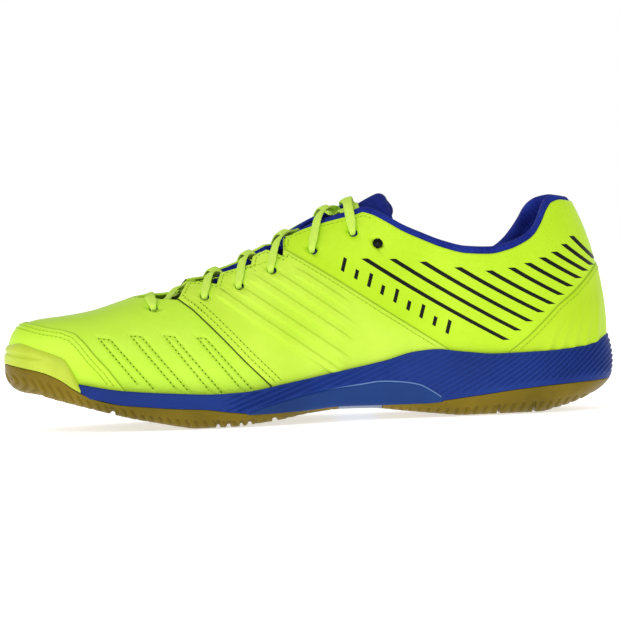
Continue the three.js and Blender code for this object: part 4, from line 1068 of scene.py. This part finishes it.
def collarHalf(side, spec):
    start = math.acos(1 - 2 * 101.9 / shoeLength)
    rays = evenRays(spec["columns"], start, math.pi)
    points = upperPoint((rays * -side)[:, None], tableLevels[None, :])
    gap = edgeGap(points, side)
    gap[:, tableLevels < -0.5] = 9
    first = np.clip(np.where((gap < 0).any(1), (gap < 0).argmax(1), len(tableLevels) - 1), 1, None)
    row = np.arange(len(rays))
    share = np.clip(gap[row, first - 1] / np.maximum(gap[row, first - 1] - gap[row, first], 1e-9), 0, 1)
    edge = tableLevels[first - 1] + (tableLevels[first] - tableLevels[first - 1]) * share
    return rays * -side, edge


def collarSections(side, spec):
    ray, edge = collarHalf(side, spec)
    step = 0.004
    perLevel = np.linalg.norm(upperPoint(ray, edge) - upperPoint(ray, edge - step), axis=-1) / step
    edgePoint = upperPoint(ray, edge)
    x, z = edgePoint[:, 0], edgePoint[:, 2]
    inner = liningDepth(x, z, side) + spec["wall"]
    rise = spec["rise"] * smoothStep(spec["start"], spec["start"] + 14, x)
    sections = []

    def add(level, depth):
        level = np.clip(level, -0.97, 0.999)
        sections.append(upperPlace(ray, level, -np.broadcast_to(depth, ray.shape)))

    def along(mm, depth):
        add(edge + mm / perLevel, depth)

    low = -0.97
    for t in np.linspace(0, 1, 16):  # up the back of the lining, from the footbed to below the edge
        level = low + (edge - 12 / perLevel - low) * t
        p = upperPoint(ray, level)
        add(level, np.maximum(liningDepth(p[:, 0], p[:, 2], side), 1.75) * (1 - smoothStep(0.55, 1, t))
            + 1.75 * smoothStep(0.55, 1, t))
    for mm, depth in ((-8, 1.75), (-4, 1.75), (-1.6, 1.7), (-0.5, 1.45)):
        along(np.full(len(ray), float(mm)), depth)
    middle, half = (0.45 + inner) / 2, (inner - 0.45) / 2
    for turn in np.radians([-90, -72, -54, -36, -18, 0, 18, 36, 54, 72, 90]):
        along(0.35 + rise * np.cos(turn) ** 0.75, middle + half * np.sin(turn))
    crease = 0.5 * smoothStep(190, 215, x)  # a sewn line runs under the roll on the inside
    for mm, depth in ((-1.2, 0.0), (-2.6, 0.0), (-4.2, 0.5), (-5.6, 0.9), (-7.0, 0.5), (-9, 0)):
        along(np.full(len(ray), float(mm)), inner - crease * depth)
    for t in np.linspace(0.06, 1, 26):
        level = (edge - 9 / perLevel) + (low - (edge - 9 / perLevel)) * t
        p = upperPoint(ray, level)
        add(level, liningDepth(p[:, 0], p[:, 2], side) + spec["wall"])
    return np.array(sections).transpose(1, 0, 2)


def makeCollar(spec):
    # both halves meet at the middle of the heel
    both = np.concatenate([collarSections(medial, spec), collarSections(lateral, spec)[::-1][1:]])
    points, faces = closedTube(both)
    collar = putPiece("paddedCollar", points, faces, looks["lining"], "lining",
                      replaces=["collar_lining", "collar_foam"])


makeCollar(collarSpec)
print("collar made")

# the tongue: a padded panel under the lace, crowned, its edges closed round, its end rounded
tongueSpec = {"from": 57, "end": 182.2, "endBend": 10, "rows": 170, "columns": 72, "droop": 2.2, "fill": 0.7}
tongueHalf = smoothCurve([[56, 10], [66, 17], [76, 23.5], [86, 26.5], [100, 25.6], [120, 25], [150, 25],
                          [172, 23.4], [196, 20]])
tongueDepth = smoothCurve([[56, 5.6], [66, 7.2], [88, 10.4], [105, 11.8], [125, 11], [142, 9.4], [160, 7.6],
                           [174, 6.3], [182, 6.4], [196, 6.2]])
tongueThick = smoothCurve([[56, 0.6], [66, 1.4], [90, 2.4], [130, 3], [168, 5.4], [182, 5.2], [196, 2.6]])


def makeTongue(spec):
    a = np.sin(np.linspace(-1, 1, spec["columns"]) * math.pi / 2)[None, :]
    end = spec["end"] + spec["endBend"] * np.abs(a) ** 2.3 - 6 * np.abs(a) ** 9
    t = np.sin(np.linspace(0, 1, spec["rows"]) * math.pi / 2)[:, None]
    x = spec["from"] + (end - spec["from"]) * t
    y = ridgeY(x) + a * tongueHalf(x)
    droop = spec["droop"] * np.abs(a) ** 1.5 * smoothStep(150, 165, x)
    thick = 3.1 + tongueThick(x)
    fromEnd = end - x
    closing = (np.power(np.clip(1 - np.abs(a) ** 7, 0, 1), 0.5)
               * np.sqrt(1 - np.square(np.clip(1 - fromEnd / 4.5, 0, 1))))
    closing = np.broadcast_to(closing, x.shape) * np.sqrt(1 - np.square(np.clip(1 - (x - spec["from"]) / 3, 0, 1)))
    seams = np.exp(-np.square((np.abs(a) - 0.62) / 0.02)) * smoothStep(70, 80, x)
    cross = sum(np.exp(-np.square((x - place) / 0.7)) for place in (92, 104, 116, 128, 140, 152, 164))
    channel = np.maximum(seams, cross * (np.abs(a) < 0.62) * 0.8)
    middle = tongueDepth(x) + droop + thick / 2
    outer = overUpper(x, y, -(middle - thick / 2 * closing + 0.9 * channel * closing))
    inner = overUpper(x, y, -(middle + thick / 2 * closing))
    faces = gridFaces(spec["rows"], spec["columns"])
    points, faces = closeSheet(outer.reshape(-1, 3), inner.reshape(-1, 3), faces)
    tongue = putPiece("paddedTongue", points, faces, looks["tongue"], "tongue", "tongue",
                      replaces=["tongue_cover", "tongue_foam", "tongue_lining"])


makeTongue(tongueSpec)
print("tongue made")

# the lace: a flat braid up through each eyelet, over its tab and across to the next one
laceSpec = {"under": -5.0, "over": 1.7, "width": 4.7, "thick": 1.4, "step": 0.7, "section": 16}
laceSag = smoothCurve([[66, 0], [88, 3.4], [105, 5.4], [122, 4.4], [138, 3.2], [155, 2.2], [170, 2.6]])


def smoothPath(points, sides, step):
    # a cubic through the points by their spacing, sampled evenly; the side directions are carried along it
    run = spread(points, 0)
    d = np.diff(run)[:, None]
    slope = np.diff(points, axis=0) / d
    inner = (slope[1:] * d[:-1] + slope[:-1] * d[1:]) / (d[1:] + d[:-1])
    tangent = np.concatenate([slope[:1], inner, slope[-1:]])
    at = np.linspace(0, run[-1], max(8, int(run[-1] / step)))
    i = np.clip(np.searchsorted(run, at, side="right") - 1, 0, len(d) - 1)
    h = d[i]
    t = ((at - run[i]) / h[:, 0])[:, None]
    path = ((2 * t**3 - 3 * t**2 + 1) * points[i] + (t**3 - 2 * t**2 + t) * h * tangent[i]
            + (3 * t**2 - 2 * t**3) * points[i + 1] + (t**3 - t**2) * h * tangent[i + 1])
    blend = t * t * (3 - 2 * t)
    return path, unit(sides[i] * (1 - blend) + sides[i + 1] * blend), i + t[:, 0]


def laceWay(start, end, sway=0.0):
    # points over the upper on the straight plan line between two places, at shares and lifts, with the lace's sideways
    start, end = np.array(start, float), np.array(end, float)

    def at(share, lift):
        share, lift = np.atleast_1d(np.asarray(share, float)), np.atleast_1d(np.asarray(lift, float))
        x = start[0] + (end[0] - start[0]) * share - sway * np.sin(math.pi * share)
        return overUpper(x, start[1] + (end[1] - start[1]) * share, lift)

    normal = upperNormal(*levelOver(*((start + end) / 2)))
    sideways = unit(np.cross(normal, np.append(end - start, 0)))
    return at, sideways * (1 if sideways[0] > 0 else -1)


def laceCrossing(k, side, over, target=None, sway=0.0):
    start = eyeletPlaces[side][k][:2]
    end = eyeletPlaces[-side][k + 1][:2] if target is None else target
    at, sideways = laceWay(start, end, sway)
    span = abs(end[1] - start[1])
    near = (abs(start[1] - ridgeY(start[0])) - throatHalf(start[0])) / span
    farX = start[0] + (end[0] - start[0]) * 0.8
    far = 1 - (abs(end[1] - ridgeY(end[0])) - throatHalf(farX) + 3 * smoothStep(138, 150, farX)) / span
    sag = laceSag(start[0] + 9)
    low = laceSpec["under"]
    up = overUpper(np.full(4, start[0]), np.full(4, start[1]), np.array([low, low + 1.6, -1.6, 0.6]))
    across = at([0.05, near * 0.6, near + 0.06, 0.5, (0.5 + far) / 2 - 0.03, far - 0.12, (far + 1) / 2],
                [laceSpec["over"], laceSpec["over"], laceSpec["over"] - 0.5, (-0.6 if over else -3.0) - sag,
                 (-3.0 if over else -5.2) - sag / 3, low, low])
    return np.concatenate([up, across]), np.repeat(sideways[None], 11, 0), np.array([1, 1, 1, 1] + [0] * 7)


def laceHalf(side):
    first = eyeletPlaces[side][0][:2]
    middle = np.array([68.2, ridgeY(68.2)])
    bar, barSide = laceWay(middle, first)
    low, lowSide = laceWay(first, eyeletPlaces[-side][1][:2])
    under = laceSpec["under"]
    down = overUpper(np.full(4, first[0]), np.full(4, first[1]), np.array([0.5, -1.6, under + 1.6, under]))
    crossed = low([0.25, 0.5, 0.62, 0.8], [under, -3.2 if side == medial else under - 1.3, under, under])
    points = [bar([0, 0.42, 0.7, 0.92], [-3.6, -2.0, 1.0, 1.3]), down, crossed]
    ways = [np.repeat(barSide[None], 6, 0), np.repeat(lowSide[None], 6, 0)]
    pinch = [np.array([0, 0, 0, 0, 1, 1, 1, 1, 0, 0, 0, 0])]
    at = -side
    for k in range(1, 6):
        last = k == 5
        target = upperPoint(*levelAt(173.0, 86.0, -at))[:2] if last else None
        crossing = laceCrossing(k, at, at == medial, target, 4.0 if last else 0.0)
        for whole, part in zip((points, ways, pinch), crossing):
            whole.append(part)
        at = at if last else -at
    tailX, tailZ, depth = np.array([[178, 79, 5.5], [183, 71, 6.6], [188, 63, 7.4]], float).T
    points.append(upperPlace(*levelAt(tailX, tailZ, -at), -depth))
    ways.append(np.repeat(np.array([[0.7, 0, 0.7]]), 3, 0))
    pinch.append(np.zeros(3))
    return np.concatenate(points), np.concatenate(ways), np.concatenate(pinch), -at


def makeLace(spec):
    halves = {side: laceHalf(side) for side in (medial, lateral)}
    a, b = halves[medial], halves[lateral]
    points = np.concatenate([a[0][::-1], b[0][1:]])
    ways = np.concatenate([a[1][::-1], b[1][1:]])
    pinch = np.concatenate([a[2][::-1], b[2][1:]])
    path, sideways, where = smoothPath(points, ways, spec["step"])
    tangent = unit(np.gradient(path, axis=0))
    sideways = unit(sideways - tangent * (sideways * tangent).sum(-1, keepdims=True))
    raised = np.cross(sideways, tangent)
    narrow = np.interp(where, np.arange(len(pinch)), pinch)[:, None]
    turn = np.linspace(0, 2 * math.pi, spec["section"], endpoint=False)[None, :]
    c, r = np.cos(turn), np.sin(turn)
    width = spec["width"] * (1 - 0.38 * narrow) / 2 * np.sign(c) * np.abs(c) ** 0.75
    height = spec["thick"] * (1 + 0.5 * narrow) / 2 * np.sign(r) * np.abs(r) ** 0.8 * (1 - 0.18 * c**8)
    tube = path[:, None] + sideways[:, None] * width[..., None] + raised[:, None] * height[..., None]
    points, faces = closedTube(tube)
    run = np.broadcast_to(spread(path, 0)[:, None], width.shape)
    uv = np.stack([run, spec["width"] / 2 * (1 + c) + 0 * run], -1).reshape(-1, 2)
    uv = np.concatenate([uv, [[0, 0], [run.max(), 0]]])
    putPiece("flatLace", points, faces, looks["lace"], "lace", uv=uv, replaces=["lace"])
    for half in halves.values():
        end, before = half[0][-1], half[0][-2]
        makeTip(end, unit(end - before), half[3])


def makeTip(start, along, side):
    # a clear sleeve shrunk on the lace's end: a round bar with rolled ends
    t = np.array([0, 0, 0.02, 0.05, 0.1, 0.3, 0.6, 0.9, 0.95, 0.98, 1, 1])
    radius = 1.5 * np.array([0.3, 0.8, 0.95, 1, 0.97, 0.96, 0.96, 0.97, 1, 0.93, 0.8, 0.3])
    across = unit(np.cross(along, [0, 1, 0]))
    other = np.cross(along, across)
    turn = np.linspace(0, 2 * math.pi, 20, endpoint=False)
    ring = across[None] * np.cos(turn)[:, None] + other[None] * np.sin(turn)[:, None]
    tube = (start + along * 0.3 + along * 18 * t[:, None])[:, None] + ring[None] * radius[:, None, None]
    points, faces = closedTube(tube)
    putPiece(halfNames[side] + "LaceTip", points, faces, looks["aglet"], "lace_tip",
             replaces=["lace_tip_" + halfNames[side]])


makeLace(laceSpec)
print("lace made")

# stitches: short rounded bars laid end to end along a line on the upper, with a dark dot between two, sunk a little:
# painted shade of the needle hole
stitchSpec = {"pitch": 2.3, "length": 1.35, "radius": 0.26, "hole": 0.34}


def offsetLine(field, distance, edge):
    # the line at a distance from a panel's edge: where the distance to the rim first passes it, going inwards
    ray, level, near = field
    if edge == "high":
        ray, level, near = ray[::-1], level[::-1], near[::-1]
    elif edge == "start":
        ray, level, near = ray.T, level.T, near.T
    else:
        ray, level, near = ray.T[::-1], level.T[::-1], near.T[::-1]
    inside = near > distance
    ok = inside.any(0)
    k = np.clip(inside.argmax(0), 1, None)
    j = np.arange(near.shape[1])
    share = np.clip((distance - near[k - 1, j]) / np.maximum(near[k, j] - near[k - 1, j], 1e-6), 0, 1)
    pick = lambda a: a[k - 1, j] + (a[k, j] - a[k - 1, j]) * share
    return pick(ray)[ok], pick(level)[ok]


def stitchPlaces(ray, level, lift, pitch, keep=None):
    points = upperPoint(ray, level)
    if keep is not None:
        good = keep(points)
        ray, level, points = ray[good], level[good], points[good]
    run = spread(points, 0)
    at = np.arange(pitch / 2, run[-1], pitch)
    r, v = np.interp(at, run, ray), np.interp(at, run, level)
    dr, dv = np.interp(at + 0.2, run, ray), np.interp(at + 0.2, run, level)
    place = upperPlace(r, v, lift)
    return place, unit(upperPlace(dr, dv, lift) - place + 1e-9), upperNormal(r, v)


def repeatShape(shape, faces, place, along, normal):
    across = np.cross(normal, along)
    points = (place[:, None] + along[:, None] * shape[None, :, :1] + across[:, None] * shape[None, :, 1:2]
              + normal[:, None] * shape[None, :, 2:])
    shift = np.arange(len(place))[:, None, None] * len(shape)
    return points.reshape(-1, 3), (faces[None] + shift).reshape(-1, 4)


def barShape(length, radius, squash=1.0):
    stations = np.array([-1, -0.72, 0.72, 1]) * length / 2
    sizes = np.array([0.45, 1, 1, 0.45]) * radius
    turn = np.linspace(0, 2 * math.pi, 6, endpoint=False)
    ring = np.stack([np.zeros(6), np.cos(turn), np.sin(turn) * squash], -1)
    along = np.stack([stations, 0 * stations, 0 * stations], -1)[:, None]
    shape = (ring[None] * sizes[:, None, None] + along).reshape(-1, 3)
    caps = np.array([[3, 2, 1, 0], [5, 4, 3, 0], [18, 19, 20, 21], [18, 21, 22, 23]])
    return shape, np.concatenate([gridFaces(4, 6, around=True), caps])


def joined(parts):
    # several sets of points and faces as one
    shifts = np.cumsum([0] + [len(p[0]) for p in parts[:-1]])
    return np.concatenate([p[0] for p in parts]), np.concatenate([p[1] + k for p, k in zip(parts, shifts)])


def makeStitches(name, lines, slot, lift, hole="paleShadeDot"):
    # lines are (rays, levels, which points to keep)
    threads, shadeDots = [], []
    thread = barShape(stitchSpec["length"], stitchSpec["radius"])
    shadeDot = barShape(0.75, stitchSpec["hole"], 0.5)
    for ray, level, keep in lines:
        if len(ray) < 4:
            continue
        place, along, normal = stitchPlaces(ray, level, lift + 0.1, stitchSpec["pitch"], keep)
        threads.append(repeatShape(*thread, place, along, normal))
        # the dot between two stitches is coloured darker than the leather: painted shade of the needle hole
        shadeDots.append(repeatShape(*shadeDot, place + along * stitchSpec["pitch"] / 2 - normal * 0.16, along, normal))
    putPiece(name + "Thread", *joined(threads), looks["thread"], slot)
    putPiece(name + "HoleShadeDots", *joined(shadeDots), looks[hole], slot)


def aboveSole(points):
    x, y, z = points.T
    return z > rimZ(x, np.where(y > centreY(x), lateral, medial)) + 1.2


def sideLine(side, points, count=60):
    # rays and levels along a line drawn in side view
    points = np.array(points, float)
    run = spread(points, 0)
    at = np.linspace(0, run[-1], count)
    return levelAt(np.interp(at, run, points[:, 0]), np.interp(at, run, points[:, 1]), side)


makeStitches("toeCap", [(*offsetLine(toeCapField, d, "high"), aboveSole) for d in (2.4, 4.4)], "toe_cap", 1.1)
for side in (medial, lateral):
    tag = halfNames[side]
    field = midfootFields[side]
    tabs = lambda p: (p[:, 0] > 84) & (p[:, 2] > 50)
    alongHem = lambda p: aboveSole(p) & (p[:, 2] < 59.5)
    lines = [(*offsetLine(field, d, "start"), alongHem) for d in (2.6, 5.2)]
    lines.append((*offsetLine(field, 2.2, "high"), tabs))
    makeStitches(tag + "Midfoot", lines, "panel", 0.9, "shadeDot")
    makeStitches(tag + "MidfootEnd", [(*offsetLine(field, 2.0, "end"), aboveSole)], "panel", 0.9)
    notLow = lambda p: p[:, 0] < 178
    makeStitches(tag + "Quarter", [(*offsetLine(quarterFields[side], 2.4, "high"), notLow)], "quarter", 0.35)
    makeStitches(tag + "Quilting", [(*sideLine(side, loop, 160), aboveSole) for loop in quiltLoops],
                 "vamp", -0.32, "shadeDot")
makeStitches("heelPanel", [(*offsetLine(heelField, 2.0, "high"), aboveSole)], "heel_panel", 0.9)


def makeSeamShade(name, line, look, slot, lift, radius, count=260):
    # a thin cord laid along a seam at the edge of the panel that lies on top; its darker colour is painted shade of
    # that overlap
    ray, level = line
    run = spread(upperPoint(ray, level), 0)
    at = np.linspace(0, run[-1], count)
    ray, level = np.interp(at, run, ray), np.interp(at, run, level)
    path, normal = upperPlace(ray, level, lift), upperNormal(ray, level)
    across = unit(np.cross(normal, unit(np.gradient(path, axis=0))))
    points, faces = roundTube(path, across, normal, radius)
    putPiece(name, points, faces, looks[look], slot)


# the cords along the hem, quarter, heel and toe cap seams are darker than the leather: painted shade of the
# overlapping edges
for side in (medial, lateral):
    tag = halfNames[side]
    for seam, field, look, lift, radius in (("Hem", midfootFields[side], "darkSeamShade", 0.25, 0.42),):
        ray, level, _ = field
        keep = aboveSole(upperPoint(ray[:, 0], level[:, 0]) + [0, 0, 2.5])
        makeSeamShade(tag + seam + "Edge", (ray[keep, 0], level[keep, 0]), look, "panel", lift, radius)
    ray, level, _ = midfootFields[side]
    keep = aboveSole(upperPoint(ray[:, -1], level[:, -1]) + [0, 0, 2.5])
    makeSeamShade(tag + "QuarterEdge", (ray[keep, -1], level[keep, -1]), "faintSeamShade", "panel", 0.45, 0.3)
ray, level, _ = heelField
keep = aboveSole(upperPoint(ray[-1], level[-1]) + [0, 0, 2.5])
makeSeamShade("heelSeamShade", (ray[-1][keep], level[-1][keep]), "faintSeamShade", "heel_panel", 0.45, 0.3, 420)
ray, level, _ = toeCapField
keep = aboveSole(upperPoint(ray[-1], level[-1]) + [0, 0, 2.5])
makeSeamShade("toeCapSeamShade", (ray[-1][keep], level[-1][keep]), "faintSeamShade", "toe_cap", 0.2, 0.35, 420)
print("stitching made")

# prints on the quarters: black bars that fan towards the heel, and a row of plain slanted ticks
barLines = [[[173.1, 76.3], [238.7, 35.2]], [[186.4, 75.6], [244.5, 39.4]], [[200.7, 73.7], [250.2, 43.5]],
            [[217.2, 70.4], [255.8, 47.6]], [[231.8, 68.3], [261.2, 51.2]], [[242.5, 69.2], [265.8, 55.3]],
            [[250.3, 71.1], [270.6, 59.1]], [[257.4, 73.4], [275.1, 62.7]], [[263.3, 75.8], [278.7, 66]],
            [[268.3, 79.2], [282.2, 68.5]], [[272.5, 82.8], [284, 71.4]]]
printSpec = {"bar": 1.75, "bow": 0.012, "tick": 1.5, "lift": 0.35, "film": 0.16}


def printedStrip(side, start, end, across, bow, count=70):
    # a film between two points of the side view, its short edges running along across
    start, end, across = np.array(start, float), np.array(end, float), np.array(across, float)
    t = np.linspace(0, 1, count)[:, None, None]
    c = np.linspace(-0.5, 0.5, 7)[None, :, None]
    down = np.array([end[1] - start[1], start[0] - end[0]]) * np.sign(end[0] - start[0])
    line = start + (end - start) * t + across * c + down * bow * 4 * t * (1 - t)
    ray, level = levelAt(line[..., 0], line[..., 1], side)
    base, normal = upperPoint(ray, level), upperNormal(ray, level)
    edge = np.minimum(np.minimum(t, 1 - t) * count, np.minimum(c + 0.5, 0.5 - c) * 6)[..., 0]
    film = printSpec["lift"] + printSpec["film"] * np.clip(edge, 0.35, 1)
    outer = base + normal * film[..., None]
    inner = base + normal * (printSpec["lift"] - 0.3)
    return closeSheet(outer.reshape(-1, 3), inner.reshape(-1, 3), gridFaces(count, 7))


for side in (medial, lateral):
    bars = []
    for start, end in barLines:
        slope = math.atan2(start[1] - end[1], end[0] - start[0])
        bars.append(printedStrip(side, start, end, (printSpec["bar"] / math.sin(slope), 0), printSpec["bow"]))
    putPiece(halfNames[side] + "PrintedBars", *joined(bars), looks["print"], "quarter")
    ticks = []
    for share in np.linspace(0, 1, 9):
        foot = np.array([162.2, 70.8]) + (np.array([210.6, 39.4]) - np.array([162.2, 70.8])) * share
        tall = 6.4 if round(share * 8) % 2 == 0 else 4.4
        ticks.append(printedStrip(side, foot, foot + np.array([0.28, 0.96]) * tall, (printSpec["tick"], -1.0), 0, 20))
    putPiece(halfNames[side] + "PrintedTicks", *joined(ticks), looks["print"], "quarter")
    # a dark cup behind the top eyelet, which the lace leaves empty; its black, taken from the print, is painted shade
    # inside the open hole
    centre = eyeletPlaces[side][6]
    normal = upperNormal(*levelAt(*eyelets[6], side))
    first = unit(np.cross(normal, [0, 0, 1]))
    other = np.cross(normal, first)
    turn = np.linspace(0, 2 * math.pi, 32, endpoint=False)[None, :, None]
    radius = np.array([2.35, 2.15, 2.15, 2.1, 1.2])[:, None, None]
    depth = np.array([0.42, 0.40, -0.4, -1.3, -1.4])[:, None, None]
    cup = centre + radius * (first * np.cos(turn) + other * np.sin(turn)) + normal * depth
    putPiece(halfNames[side] + "EyeletShadeCup", *closedTube(cup), looks["print"], "quarter")
print("prints made")

floorMesh = bpy.data.meshes.new("studioFloor")
floorMesh.from_pydata([(-3, -3, -0.0005), (3, -3, -0.0005), (3, 3, -0.0005), (-3, 3, -0.0005)], [], [(0, 1, 2, 3)])
floor = bpy.data.objects.new("studioFloor", floorMesh)
bpy.context.scene.collection.objects.link(floor)
looks["floor"].node_tree.nodes["Principled BSDF"].inputs["Emission Color"].default_value = (1, 1, 1, 1)
looks["floor"].node_tree.nodes["Principled BSDF"].inputs["Emission Strength"].default_value = 0.62
floorMesh.materials.append(looks["floor"])
